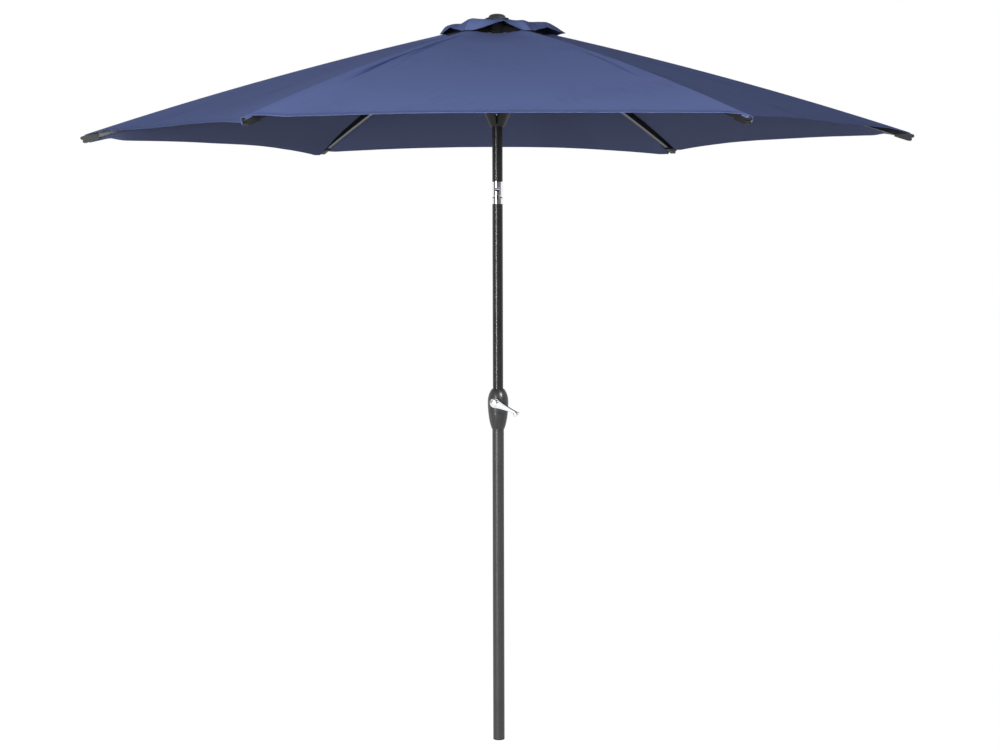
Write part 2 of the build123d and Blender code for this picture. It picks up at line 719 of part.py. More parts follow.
def rib_frame(distance, above):
    """A plane on the rib's side: x out along the rib, y up from it, centred on the rib."""
    angle = bow_start + distance / rib_bow_radius
    x, z = rib_point(distance, above)
    return Plane(origin=(x, 0, z), x_dir=(cos(angle), 0, -sin(angle)), z_dir=(0, -1, 0))


strut_x, strut_z = rib_point(strut_reach, -strut_drop)
strut_length = hypot(strut_x - pivot_radius, hub_height - strut_z)
open_angle = atan2(hub_height - strut_z, strut_x - pivot_radius)
runner_height = hub_height - 2 * strut_length * sin(open_angle)
ring_hole = ring_wire / 2 + running_clearance
half_rib = rib_depth / 2

with BuildPart() as rib:
    section_plane = Plane(
        origin=(pivot_radius, 0, hub_height),
        x_dir=(0, 1, 0),
        z_dir=(cos(bow_start), 0, -sin(bow_start)),
    )
    with BuildSketch(section_plane) as rib_section:
        Rectangle(rib_width, rib_depth)
        Rectangle(rib_width - 2 * rib_wall, rib_depth - 2 * rib_wall, mode=Mode.SUBTRACT)
    bow_axis = Axis((bow_x, 0, bow_z), (0, 1, 0))
    revolve(axis=bow_axis, revolution_arc=degrees(rib_length / rib_bow_radius))
    # Solid eye at the hub
    with BuildSketch(rib_frame(0, 0)) as rib_eye:
        Circle(half_rib)
    extrude(amount=rib_width / 2, both=True)
    with BuildSketch(rib_frame(0, 0)) as rib_eye_hole:
        Circle(ring_hole)
    extrude(amount=rib_width, both=True, mode=Mode.SUBTRACT)
    # Welded bracket for the strut
    bracket_drop = strut_drop - half_rib
    bracket_frame = rib_frame(strut_reach, -strut_drop)
    strut_gap = strut_width / 2 + running_clearance
    with BuildSketch(bracket_frame) as bracket_side:
        Circle(bracket_eye_radius)
        with Locations((0, bracket_drop)):
            Rectangle(bracket_length, rib_wall)
        make_hull()
    extrude(amount=strut_gap + bracket_wall, both=True)
    with BuildSketch(bracket_frame) as strut_room:
        with Locations((0, bracket_drop - rib_wall - bracket_wall / 2)):
            Rectangle(2 * bracket_length, 4 * bracket_drop, align=(Align.CENTER, Align.MAX))
    extrude(amount=strut_gap, both=True, mode=Mode.SUBTRACT)
    with BuildSketch(bracket_frame) as rivet_hole:
        Circle(rivet_diameter / 2 + fit_clearance)
    extrude(amount=rib_width, both=True, mode=Mode.SUBTRACT)
write_around(rib.part, "rib")

with BuildPart() as strut_rivet:
    rivet_reach = strut_gap + bracket_wall
    rivet_frame = rib_frame(strut_reach, -strut_drop)
    add_round(rivet_frame, -rivet_reach, rivet_reach, rivet_diameter / 2)
    add_round(rivet_frame, rivet_reach, rivet_reach + rivet_head, rivet_head_diameter / 2)
    add_round(rivet_frame, -rivet_reach - rivet_head, -rivet_reach, rivet_head_diameter / 2)
write_around(strut_rivet.part, "strut_rivet")

with BuildPart() as strut:
    strut_frame = Plane(
        origin=(pivot_radius, 0, runner_height),
        x_dir=(cos(open_angle), 0, sin(open_angle)),
        z_dir=(0, -1, 0),
    )
    with BuildSketch(strut_frame) as strut_side:
        with Locations((strut_length / 2, 0)):
            SlotCenterToCenter(strut_length, strut_depth)
    extrude(amount=strut_width / 2, both=True)
    # Open channel along the underside between the two solid ends
    with BuildSketch(strut_frame) as channel:
        with Locations((strut_length / 2, strut_depth / 2 - strut_wall)):
            Rectangle(strut_length - 2 * strut_end_block, 2 * strut_depth, align=(Align.CENTER, Align.MAX))
    extrude(amount=strut_width / 2 - strut_wall, both=True, mode=Mode.SUBTRACT)
    add_round(strut_frame, -strut_width, strut_width, ring_hole, Mode.SUBTRACT)
    rivet_way = rivet_diameter / 2 + running_clearance
    rivet_frame = rib_frame(strut_reach, -strut_drop)
    add_round(rivet_frame, -strut_width, strut_width, rivet_way, Mode.SUBTRACT)
write_around(strut.part, "strut")

with BuildPart() as rib_tip:
    tip_frame = rib_frame(rib_length, 0)
    with BuildSketch(tip_frame) as upper_finger:
        with Locations(tip_upper_finger):
            Circle(tip_finger_radius)
        with Locations((0, 0)):
            Rectangle(tip_body, rib_depth, align=(Align.MIN, Align.CENTER))
        make_hull()
    extrude(amount=rib_width / 2 + tip_wall, both=True)
    with BuildSketch(tip_frame) as lower_finger:
        with Locations(tip_lower_finger):
            Circle(tip_finger_radius)
        with Locations((0, -half_rib - tip_floor)):
            Rectangle(tip_body, rib_depth / 2 + tip_floor, align=(Align.MIN, Align.MIN))
        make_hull()
    extrude(amount=rib_width / 2 + tip_wall, both=True)
    with BuildSketch(tip_frame) as socket_side:
        with Locations((0, -half_rib - tip_floor)):
            Rectangle(tip_socket, rib_depth + tip_floor, align=(Align.MAX, Align.MIN))
    extrude(amount=rib_width / 2 + tip_wall, both=True)
    with BuildSketch(tip_frame) as socket_room:
        with Locations((fit_clearance, -half_rib - fit_clearance)):
            Rectangle(2 * tip_socket, 2 * rib_depth, align=(Align.MAX, Align.MIN))
    extrude(amount=rib_width / 2 + fit_clearance, both=True, mode=Mode.SUBTRACT)
write_around(rib_tip.part, "rib_tip")

# Runner: a funnel that slides on the mast
runner_bore = knuckle_radius + runner_clearance
strut_slot_width = strut_width + 2 * running_clearance
strut_slot_inner = pivot_radius - strut_depth / 2 - runner_slot_floor
strut_slot_floor = runner_height - strut_depth / 2 - runner_slot_floor
runner_top = runner_height + runner_rim
runner_foot = runner_height - runner_foot_drop

with BuildPart() as runner:
    with BuildSketch(Plane.XZ) as funnel:
        Polygon(
            (runner_bore, runner_foot),
            (runner_foot_radius, runner_foot),
            (runner_radius, strut_slot_floor),
            (runner_radius, runner_top),
            (runner_bore, runner_top),
            align=None,
        )
    revolve(axis=Axis.Z)
    add_slots(strut_slot_width, strut_slot_inner, 2 * runner_radius, strut_slot_floor, runner_top)
    add_hexagon_band(
        pivot_radius, groove_half, groove_half, runner_height - ring_wire / 2 - fit_clearance, runner_top
    )
    anchor_height = runner_height - anchor_hole_drop
    add_round(front_plane(anchor_height), 0, 2 * runner_radius, anchor_hole_diameter / 2, Mode.SUBTRACT)
runner.part.label = "runner"
export_step(runner.part, "parts/runner.step")

with BuildPart() as runner_ring:
    with BuildLine() as runner_ring_line:
        FilletPolyline(*ring_corners(runner_height), radius=ring_bend, close=True)
    with BuildSketch(Plane(origin=runner_ring_line.line @ 0, z_dir=runner_ring_line.line % 0)):
        Circle(ring_wire / 2)
    sweep(path=runner_ring_line.line)
runner_ring.part.label = "runner_ring"
export_step(runner_ring.part, "parts/runner_ring.step")

# Canopy cloth: each gore lies on one rib and reaches half way to its neighbours
half_sector = pi / rib_count
end_slope = bow_start + rib_length / rib_bow_radius
cloth_fall = (rib_width / 2 + tip_wall) * tan(half_sector) * tan(end_slope)
cloth_rise = half_rib + running_clearance + cloth_fall
corner_distance = rib_length + tip_upper_finger[0] - canopy_corner_inset
inner_distance = (canopy_inner_radius - pivot_radius) / cos(bow_start)
middle_distance = (corner_distance + inner_distance) / 2
corner_radius = rib_point(corner_distance, cloth_rise)[0]
inner_radius = rib_point(inner_distance, cloth_rise)[0]
hem_middle = corner_radius * cos(half_sector) - hem_dip
gore_plane = Plane(
    origin=(0, 0, 0),
    x_dir=(cos(half_sector), sin(half_sector), 0),
    z_dir=(sin(half_sector), -cos(half_sector), 0),
)


def panel_point(distance, lift):
    """A point of the cloth's section half way between two ribs, level with a point of the rib."""
    x, z = rib_point(distance, cloth_rise)
    return (x * cos(half_sector), z + lift)


def on_azimuth(radius, azimuth):
    """A point in plan at a distance from the mast."""
    return (radius * cos(azimuth), radius * sin(azimuth))


with BuildPart() as canopy_gore:
    with BuildSketch(gore_plane.offset(gore_gap / 2)) as cloth_section:
        with BuildLine():
            stations = (inner_distance, middle_distance, corner_distance)
            under = ThreePointArc(*[panel_point(station, 0) for station in stations])
            over = ThreePointArc(*[panel_point(station, cloth) for station in stations])
            Line(under @ 0, over @ 0)
            Line(under @ 1, over @ 1)
        make_face()
    extrude(amount=corner_radius)
    with BuildSketch(Plane.XY) as gore_plan:
        with BuildLine():
            far_azimuth = 2 * half_sector
            Polyline(
                on_azimuth(corner_radius, far_azimuth),
                on_azimuth(inner_radius, far_azimuth),
                on_azimuth(inner_radius, 0),
                on_azimuth(corner_radius, 0),
            )
            ThreePointArc(
                on_azimuth(corner_radius, 0),
                on_azimuth(hem_middle, half_sector),
                on_azimuth(corner_radius, far_azimuth),
            )
        make_face()
    extrude(amount=2 * hub_height, mode=Mode.INTERSECT)
    mirror(about=Plane.XZ)
write_around(canopy_gore.part, "canopy_gore")

vent_floor = vent_seat + fit_clearance
with BuildPart() as vent_cap:
    for lift, loft_mode in ((cloth, Mode.ADD), (0, Mode.SUBTRACT)):
        with BuildSketch(Plane.XY.offset(vent_floor - vent_drop + lift)) as vent_hem:
            RegularPolygon(vent_corner_radius, rib_count)
        with BuildSketch(Plane.XY.offset(vent_floor + lift)) as vent_crest:
            RegularPolygon(finial_brim_radius, rib_count)
        loft([vent_hem.sketch, vent_crest.sketch], mode=loft_mode)
    stud_hole = finial_stud_radius + fit_clearance
    add_round(Plane.XY, vent_floor, vent_seat + 2 * finial_brim, stud_hole, Mode.SUBTRACT)
    for number in range(rib_count):
        azimuth = (2 * number + 1) * half_sector
        arch = Plane(
            origin=(0, 0, vent_floor - vent_drop + vent_arch_rise - vent_arch_radius),
            x_dir=(-sin(azimuth), cos(azimuth), 0),
            z_dir=(cos(azimuth), sin(azimuth), 0),
        )
        add_round(arch, finial_brim_radius, vent_corner_radius, vent_arch_radius, Mode.SUBTRACT)
vent_cap.part.label = "vent_cap"
export_step(vent_cap.part, "parts/vent_cap.step")

print("open angle of the linkage", round(degrees(open_angle), 4))
print("strut length", round(strut_length, 4))
print("strut pivot on the rib", round(strut_x, 4), round(strut_z, 4))
print("runner pivot height", round(runner_height, 4))
tip_end = rib_length + tip_upper_finger[0] + tip_finger_radius
print("tip to tip", round(2 * rib_point(tip_end, 0)[0], 1))
print("finial top", round(finial_seat + finial_brim + finial_dome, 1))
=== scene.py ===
import json
from math import cos, exp, hypot, pi, radians, sin, sqrt, tan

import bmesh
import bpy
from mathutils import Matrix, Vector, noise


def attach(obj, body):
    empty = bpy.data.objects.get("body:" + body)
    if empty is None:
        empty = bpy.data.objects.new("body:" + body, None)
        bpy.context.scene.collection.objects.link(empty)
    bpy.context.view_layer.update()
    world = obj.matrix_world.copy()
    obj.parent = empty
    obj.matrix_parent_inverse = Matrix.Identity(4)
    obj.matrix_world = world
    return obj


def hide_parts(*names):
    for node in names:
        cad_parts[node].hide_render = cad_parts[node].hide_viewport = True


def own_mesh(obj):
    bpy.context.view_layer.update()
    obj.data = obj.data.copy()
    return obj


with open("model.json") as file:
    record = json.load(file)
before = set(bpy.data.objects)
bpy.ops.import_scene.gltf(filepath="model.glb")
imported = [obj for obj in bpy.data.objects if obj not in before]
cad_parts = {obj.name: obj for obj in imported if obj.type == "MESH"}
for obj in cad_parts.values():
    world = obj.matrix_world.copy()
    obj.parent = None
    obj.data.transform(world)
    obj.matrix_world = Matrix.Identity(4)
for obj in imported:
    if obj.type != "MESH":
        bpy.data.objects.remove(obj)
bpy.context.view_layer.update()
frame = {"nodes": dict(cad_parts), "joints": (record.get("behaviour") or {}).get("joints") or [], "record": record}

# A navy patio umbrella: its cloth, its finishes and a plain white studio.
# Metres, +Z up, rib 1 along +X and the crank facing the front, -Y.

MM = 0.001
RIBS = 6
SECTOR = 2 * pi / RIBS
HALF_SECTOR = pi / RIBS
UP = Vector((0, 0, 1))
FRONT = Vector((0, -1, 0))

# The bowed ribs that carry the cloth
JOINTS = {joint["name"]: joint for joint in frame["joints"]}
PIVOT_RADIUS, _, PIVOT_HEIGHT = JOINTS["rib_1_fold"]["pos_m"]
RIB_SLOPE = radians(12.1)
RIB_BOW_RADIUS = 13.2
BOW_X = PIVOT_RADIUS - RIB_BOW_RADIUS * sin(RIB_SLOPE)
BOW_Z = PIVOT_HEIGHT - RIB_BOW_RADIUS * cos(RIB_SLOPE)

# The cloth, and how far its lower face lies over a rib's middle line
CLOTH = 0.8 * MM
CLOTH_RISE = 11.9 * MM


def rib_point(distance, above):
    """Distance from the mast and height of a point on or above a rib's middle line."""
    turn = RIB_SLOPE + distance / RIB_BOW_RADIUS
    reach = RIB_BOW_RADIUS + above
    return BOW_X + reach * sin(turn), BOW_Z + reach * cos(turn)


def cloth_height(radius):
    """Height of the cloth's upper face over a rib, at a distance from the mast."""
    reach = RIB_BOW_RADIUS + CLOTH_RISE + CLOTH
    return BOW_Z + sqrt(reach**2 - (radius - BOW_X) ** 2)


def smooth_step(low, high, value):
    """0 below low, 1 above high, with a soft rise between them."""
    share = min(1, max(0, (value - low) / (high - low)))
    return share * share * (3 - 2 * share)


def bowed(share):
    """0 at a rib and 1 in mid panel, along a bow that is level there."""
    return 1 - (1 - share) ** 2


def rib_turn(number):
    """The turn round the mast from rib 1 to another rib."""
    return Matrix.Rotation((number - 1) * SECTOR, 3, "Z")


# Materials

# Sizes of the patterns on the cloth and on the hard finishes
THREAD = 2.4 * MM  # drawn coarser than the real 0.5 mm threads, so that the weave shows
THREAD_RELIEF = 0.15 * MM
SLUB_WIDTH = 6 * MM
SLUB_LENGTH = 0.12
DYE_PATCH = 0.25
GLOSS_PATCH = 0.08
GLOSS_SPREAD = 0.04
# Painted shade: the darker navy laid along the creases beside the seams
CREASE_SHADE_COLOUR = "#333e72"


def linear(hex_colour):
    """A colour written as sRGB hex, as the linear values that the shaders take."""
    channels = [int(hex_colour[i : i + 2], 16) / 255 for i in (1, 3, 5)]
    return [c / 12.92 if c <= 0.04045 else ((c + 0.055) / 1.055) ** 2.4 for c in channels] + [1]


def add_node(tree, kind, inputs=None, **settings):
    """Add a node with its settings; each input is a value or the socket it is linked from."""
    node = tree.nodes.new(kind)
    for name, value in settings.items():
        setattr(node, name, value)
    for name, value in (inputs or {}).items():
        if isinstance(value, bpy.types.NodeSocket):
            tree.links.new(value, node.inputs[name])
        else:
            node.inputs[name].default_value = value
    return node


def new_material(name):
    """An empty material and the tree to fill."""
    material = bpy.data.materials.new(name)
    material.use_nodes = True
    material.node_tree.nodes.clear()
    return material, material.node_tree


def woven_polyester(name, dark, light, back_painted_light_shade):
    """Piece-dyed polyester in a plain weave.

    It is matt, with faint streaks along the threads and a fine grid. Painted shade darkens it along
    the creases, and its back takes one plain colour, which is painted light under the canopy and painted shade
    under the vent.
    """
    material, tree = new_material(name)
    flat = add_node(tree, "ShaderNodeUVMap", uv_map="cloth").outputs[0]
    split = add_node(tree, "ShaderNodeSeparateXYZ", {"Vector": flat})
    waves = []
    for axis in ("X", "Y"):
        turns = add_node(
            tree,
            "ShaderNodeMath",
            {0: split.outputs[axis], 1: 2 * pi / THREAD},
            operation="MULTIPLY",
        )
        wave = add_node(tree, "ShaderNodeMath", {0: turns.outputs[0]}, operation="SINE")
        waves.append(wave.outputs[0])
    weave = add_node(tree, "ShaderNodeMath", {0: waves[0], 1: waves[1]}, operation="MULTIPLY")
    bump = add_node(
        tree,
        "ShaderNodeBump",
        {"Height": weave.outputs[0], "Strength": 0.25, "Distance": THREAD_RELIEF},
    )
    slubs = add_node(
        tree,
        "ShaderNodeMapping",
        {"Vector": flat, "Scale": (1 / SLUB_WIDTH, 1 / SLUB_LENGTH, 1)},
    )
    streaks = add_node(
        tree,
        "ShaderNodeTexNoise",
        {"Vector": slubs.outputs[0], "Scale": 1, "Detail": 3, "Roughness": 0.6},
    )
    place = add_node(tree, "ShaderNodeTexCoord")
    clouds = add_node(
        tree,
        "ShaderNodeTexNoise",
        {"Vector": place.outputs["Object"], "Scale": 1 / DYE_PATCH, "Detail": 2},
    )
    shade = add_node(
        tree, "ShaderNodeMath", {0: streaks.outputs[0], 1: clouds.outputs[0]}, operation="ADD"
    )
    colour = add_node(tree, "ShaderNodeValToRGB", {"Fac": shade.outputs[0]})
    colour.color_ramp.interpolation = "EASE"
    for stop, position, dye in zip(colour.color_ramp.elements, (0.6, 1.0), (dark, light)):
        stop.position, stop.color = position, linear(dye)
    # The under side takes the given back colour: painted light under the canopy, painted shade under the vent
    under = add_node(tree, "ShaderNodeAttribute", attribute_name="under")
    faces = add_node(
        tree,
        "ShaderNodeMix",
        {"Factor": under.outputs["Fac"], "A": colour.outputs[0], "B": linear(back_painted_light_shade)},
        data_type="RGBA",
    )
    # Painted shade along the creases, darker where a crease is deeper
    crease_shade = add_node(tree, "ShaderNodeAttribute", attribute_name="crease_shade")
    crease_shaded = add_node(
        tree,
        "ShaderNodeMix",
        {
            "Factor": crease_shade.outputs["Fac"],
            "A": faces.outputs["Result"],
            "B": linear(CREASE_SHADE_COLOUR),
        },
        data_type="RGBA",
    )
    cloth = add_node(
        tree,
        "ShaderNodeBsdfPrincipled",
        {
            "Base Color": crease_shaded.outputs["Result"],
            "Roughness": 0.85,
            "Specular IOR Level": 0.02,
            "Normal": bump.outputs[0],
        },
    )
    add_node(tree, "ShaderNodeOutputMaterial", {"Surface": cloth.outputs[0]})
    return material


def satin_finish(name, dark, light, roughness, grain, lift, specular=0.5):
    """Powder coat or a moulded face: satin, with a fine grain and slightly uneven gloss."""
    material, tree = new_material(name)
    place = add_node(tree, "ShaderNodeTexCoord").outputs["Object"]
    peel = add_node(
        tree,
        "ShaderNodeTexNoise",
        {"Vector": place, "Scale": 1 / grain, "Detail": 2, "Roughness": 0.5},
    )
    bump = add_node(
        tree, "ShaderNodeBump", {"Height": peel.outputs[0], "Strength": 0.3, "Distance": lift}
    )
    clouds = add_node(
        tree, "ShaderNodeTexNoise", {"Vector": place, "Scale": 1 / GLOSS_PATCH, "Detail": 3}
    )
    colour = add_node(tree, "ShaderNodeValToRGB", {"Fac": clouds.outputs[0]})
    for stop, position, paint in zip(colour.color_ramp.elements, (0.3, 0.7), (dark, light)):
        stop.position, stop.color = position, linear(paint)
    gloss = add_node(
        tree,
        "ShaderNodeMapRange",
        {
            "Value": clouds.outputs[0],
            "To Min": roughness - GLOSS_SPREAD,
            "To Max": roughness + GLOSS_SPREAD,
        },
    )
    coat = add_node(
        tree,
        "ShaderNodeBsdfPrincipled",
        {
            "Base Color": colour.outputs[0],
            "Roughness": gloss.outputs[0],
            "Specular IOR Level": specular,
            "Normal": bump.outputs[0],
        },
    )
    add_node(tree, "ShaderNodeOutputMaterial", {"Surface": coat.outputs[0]})
    return material


def bare_metal(name, colour, roughness, scratch):
    """Plated or machined metal: mirror-like, broken up by fine polishing marks."""
    material, tree = new_material(name)
    place = add_node(tree, "ShaderNodeTexCoord")
    marks = add_node(
        tree,
        "ShaderNodeTexNoise",
        {"Vector": place.outputs["Object"], "Scale": 1 / scratch, "Detail": 4, "Roughness": 0.7},
    )
    gloss = add_node(
        tree,
        "ShaderNodeMapRange",
        {"Value": marks.outputs[0], "To Min": 0.6 * roughness, "To Max": 1.4 * roughness},
    )
    metal = add_node(
        tree,
        "ShaderNodeBsdfPrincipled",
        {"Base Color": linear(colour), "Metallic": 1, "Roughness": gloss.outputs[0]},
    )
    add_node(tree, "ShaderNodeOutputMaterial", {"Surface": metal.outputs[0]})
    return material


# The canopy's navy cloth, with a greyer, paler back: painted light on its under side
CLOTH_FINISH = woven_polyester("navy_woven_polyester", "#535f8b", "#5c6998", "#626b8e")
# The vent's cloth, painted a shade deeper as painted shade, with a dark back that is painted shade on its under
# side
VENT_PAINTED_SHADE_FINISH = woven_polyester("navy_vent_polyester_painted_shade", "#4d5881", "#56628e", "#1d2233")
FINISHES = {
    # Dark grey baked paint on the lower tube, with a soft highlight down its length
    "pole_paint": satin_finish(
        "charcoal_powder_coat", "#303031", "#373738", 0.38, 0.9 * MM, 0.02 * MM
    ),
    # Black baked paint on ribs and struts, with a slight orange peel
    "frame_paint": satin_finish(
        "black_powder_coat", "#1a1a1b", "#212122", 0.34, 0.8 * MM, 0.03 * MM, 0.35
    ),
    # Dull black mouldings of hub, runner and end caps
    "black_plastic": satin_finish(
        "black_moulded_nylon", "#121213", "#181819", 0.5, 0.5 * MM, 0.03 * MM, 0.3
    ),
    # The crank housing's moulding, with a fine grain that spreads its highlight
    "housing_plastic": satin_finish(
        "grained_black_abs", "#282829", "#39393a", 0.33, 0.6 * MM, 0.06 * MM
    ),
    # Bright plate that mirrors the studio
    "chrome": bare_metal("polished_chrome_plate", "#eeeff1", 0.06, 25 * MM),
    # Grey plated wire and screws with a blurred shine
    "steel": bare_metal("zinc_plated_steel", "#b9babd", 0.32, 1 * MM),
    # Warm yellow turned bushes with a blurred shine
    "brass": bare_metal("machined_brass", "#c7a968", 0.3, 1 * MM),
    "navy_cloth": CLOTH_FINISH,
}
# Smoother and blacker baked paint on the two upper tubes, with a narrow highlight
UPPER_TUBE_FINISH = satin_finish(
    "black_gloss_powder_coat", "#232324", "#292929", 0.26, 0.9 * MM, 0.001 * MM, 0.3
)
UPPER_TUBES = ("middle_pole", "mast_tube")
# Dead black and matt, with almost no shine: painted shade of the dark slot on the runner's front
SLOT_SHADE_FINISH = satin_finish("black_slot_shade", "#060607", "#09090a", 0.8, 0.5 * MM, 0.02 * MM, 0.1)

for subpart in frame["record"]["subparts"]:
    finish = FINISHES[subpart["material_slot"]]
    if subpart["node"] in UPPER_TUBES:
        finish = UPPER_TUBE_FINISH
    coats = frame["nodes"][subpart["node"]].data.materials
    coats.clear()
    coats.append(finish)


# Meshes

SHARP_ANGLE = radians(40)
MERGE_DISTANCE = 1e-6
LATHE_STEPS = 72
UNDERSIDE = -0.2  # the slope of a normal from which a face counts as the cloth's under side


def new_object(name, bm, material):
    """Turn a bmesh into an object of the scene."""
    mesh = bpy.data.meshes.new(name)
    bm.to_mesh(mesh)
    bm.free()
    mesh.materials.append(material)
    thing = bpy.data.objects.new(name, mesh)
    bpy.context.scene.collection.objects.link(thing)
    return thing


def new_piece(name, bm, finish, body):
    """Turn a bmesh into a piece that rides on a body."""
    piece = new_object(name, bm, finish)
    piece.data.shade_smooth()
    piece.data.set_sharp_from_angle(angle=SHARP_ANGLE)
    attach(piece, body)
    return piece


def face_towards(bm, direction):
    """Make the faces of an open sheet agree, and turn them to one side."""
    bmesh.ops.recalc_face_normals(bm, faces=bm.faces)
    if sum(face.normal.dot(direction) for face in bm.faces) < 0:
        bmesh.ops.reverse_faces(bm, faces=bm.faces)


def sheet_area(bm):
    return sum(face.calc_area() for face in bm.faces)


def cloth_grid(rows, columns, place):
    """A sheet from place(row, column), and its area.

    place gives a point, its spot on the flat cloth and how much painted crease shade the cloth takes there.
    """
    bm = bmesh.new()
    uv_layer = bm.loops.layers.uv.new("cloth")
    crease_shade = bm.verts.layers.float.new("crease_shade")
    bmesh.ops.create_grid(bm, x_segments=rows, y_segments=columns, size=1)
    flat = {}
    for vert in bm.verts:
        row = round((vert.co.x + 1) / 2 * rows)
        column = round((vert.co.y + 1) / 2 * columns)
        vert.co, flat[vert], vert[crease_shade] = place(row, column)
    for face in bm.faces:
        for loop in face.loops:
            loop[uv_layer].uv = flat[loop.vert]
    face_towards(bm, UP)
    return bm, sheet_area(bm)


def thicken(bm, thickness):
    """Give a sheet its thickness, below the face it was drawn by, and mark its under side."""
    bmesh.ops.solidify(bm, geom=bm.faces, thickness=thickness)
    bmesh.ops.recalc_face_normals(bm, faces=bm.faces)
    under = bm.faces.layers.float.new("under")
    for face in bm.faces:
        face[under] = 1.0 if face.normal.z < UNDERSIDE else 0.0


def turned(profile, cuts=0):
    """A skin turned round the Z axis from (radius, height) points, with cuts between them."""
    bm = bmesh.new()
    verts = [bm.verts.new((radius, 0, height)) for radius, height in profile]
    edges = [bm.edges.new(verts[i : i + 2]) for i in range(len(verts) - 1)]
    if cuts:
        bmesh.ops.subdivide_edges(bm, edges=edges, cuts=cuts)
    bmesh.ops.spin(
        bm,
        geom=bm.verts[:] + bm.edges[:],
        axis=(0, 0, 1),
        cent=(0, 0, 0),
        angle=2 * pi,
        steps=LATHE_STEPS,
        use_merge=True,
    )
    bmesh.ops.remove_doubles(bm, verts=bm.verts, dist=MERGE_DISTANCE)
    return bm


# Canopy

CANOPY_INNER_RADIUS = 0.175
CANOPY_CORNER_RADIUS = 1.338
# The same two places, measured along a panel's middle line
CANOPY_INNER_OUT = CANOPY_INNER_RADIUS * cos(HALF_SECTOR)
CANOPY_CORNER_OUT = CANOPY_CORNER_RADIUS * cos(HALF_SECTOR)
CANOPY_ROWS = 110
CANOPY_COLUMNS = 104
COLUMN_CROWDING = 2.2  # columns lie closer together towards the rib
INNER_SAG = 9 * MM
INNER_SAG_REACH = 0.2

# The hem: its inward bow, its width, and how far in from it each of its rows lies
HEM_DIP = 66 * MM
HEM_WIDTH = 15 * MM
HEM_ROWS = (0, 0, 0.1 * HEM_WIDTH, 0.9 * HEM_WIDTH, HEM_WIDTH)
HEM_LIFT = 0.6 * MM
HEM_LIP = 0.8 * MM
# How far back from each rib's end the hem leaves the rib, and the share of a half panel it takes
CORNER_CUTS = (40 * MM, -8 * MM, -8 * MM, 40 * MM, 14 * MM, 14 * MM)
CORNER_CUT_SHARE = 0.07

# How far each panel's hem hangs below its first rib, in its middle and below its second rib,
# from the panel after rib 1
PANEL_DROPS = (
    (26 * MM, 27 * MM, 14 * MM),
    (30 * MM, 30 * MM, 16 * MM),
    (31 * MM, 37 * MM, 40 * MM),
    (4 * MM, 22 * MM, 28 * MM),
    (11 * MM, 16 * MM, 1 * MM),
    (13 * MM, 11 * MM, 5 * MM),
)
# How that fall grows from the mast to the hem, and to what power of it by the ribs
DROP_GROWTH = 1.3
FOLD_POWER = 3
TUCK_POWER = 5
# The fall by a rib starts a little away from it. It is full at these distances: in a wide
# fold, by rib, or in a tuck close against the rib
FOLD_START = 8 * MM
CORNER_FOLDS = (110 * MM, 34 * MM, 34 * MM, 120 * MM, 90 * MM, 50 * MM)
TUCK_END = 18 * MM
# The share of the fall that is tucked in by each panel's two ribs
PANEL_TUCKS = ((0.6, 1.0), (1.0, 1.0), (1.0, 0.65), (0.0, 0.6), (0.0, 0.0), (0.6, 0.0))

# The small rise and fall of the stretched cloth: width and height of broad and fine waves,
# and how far from a rib it starts and is full
BROAD_WAVE, BROAD_HEIGHT = 0.3, 1.6 * MM
FINE_WAVE, FINE_HEIGHT = 0.07, 0.35 * MM
UNREST_START, UNREST_FULL = 0.012, 0.06

# Creases by the seams: rib, side, distance out and from the rib, length, width, turn, depth
PUCKERS = (
    (5, 1, 0.44, 0.022, 0.22, 5.5 * MM, 1.2, 3.0 * MM),
    (5, 1, 0.52, 0.040, 0.18, 5.0 * MM, 3.0, 1.8 * MM),
    (5, 1, 0.68, 0.024, 0.26, 5.5 * MM, 1.5, 3.2 * MM),
    (5, 1, 0.80, 0.036, 0.18, 5.0 * MM, 3.0, 2.2 * MM),
    (5, 1, 0.30, 0.022, 0.10, 4.5 * MM, 2.0, 1.8 * MM),
    (6, -1, 0.66, 0.024, 0.20, 5.0 * MM, 2.0, 1.6 * MM),
    (6, -1, 0.80, 0.038, 0.14, 5.0 * MM, 4.0, 1.2 * MM),
    (2, 1, 0.70, 0.028, 0.18, 5.0 * MM, 3.0, 1.6 * MM),
    (3, -1, 0.60, 0.031, 0.20, 5.0 * MM, 3.0, 1.6 * MM),
    (1, -1, 0.75, 0.025, 0.16, 5.0 * MM, 3.0, 1.6 * MM),
    (4, 1, 0.58, 0.029, 0.18, 5.0 * MM, 3.0, 1.4 * MM),
)
PUCKER_START, PUCKER_FULL = 0.010, 0.018
PUCKER_FULL_SHADE = 3 * MM  # a crease this deep takes the full painted shade

# The tape over each seam, lifted all but its edges
TAPE_HALF_WIDTH = 9.5 * MM
TAPE_COLUMNS = 8
TAPE_LIFT = 0.25 * MM
TAPE_LIFTED_SHARE = 0.9


def pucker_depth(number, side, out, away):
    """How far the cloth dips in the creases beside one side of a rib."""
    depth = 0
    for rib, rib_side, middle_out, middle_away, length, width, turn, most in PUCKERS:
        if (rib, rib_side) != (number, side):
            continue
        out_by, away_by = out - middle_out, away - middle_away
        lean = radians(turn)
        along = out_by * cos(lean) + away_by * sin(lean)
        across = away_by * cos(lean) - out_by * sin(lean)
        depth += most * exp(-((across / width) ** 2) - (2 * along / length) ** 2)
    return depth


def cloth_unrest(x, y):
    """The small rise and fall of the stretched cloth at a point in plan."""
    broad = noise.noise(Vector((x, y, 0)) / BROAD_WAVE)
    fine = noise.noise(Vector((x, y, 3)) / FINE_WAVE)  # another slice of the noise
    return BROAD_HEIGHT * broad + FINE_HEIGHT * fine


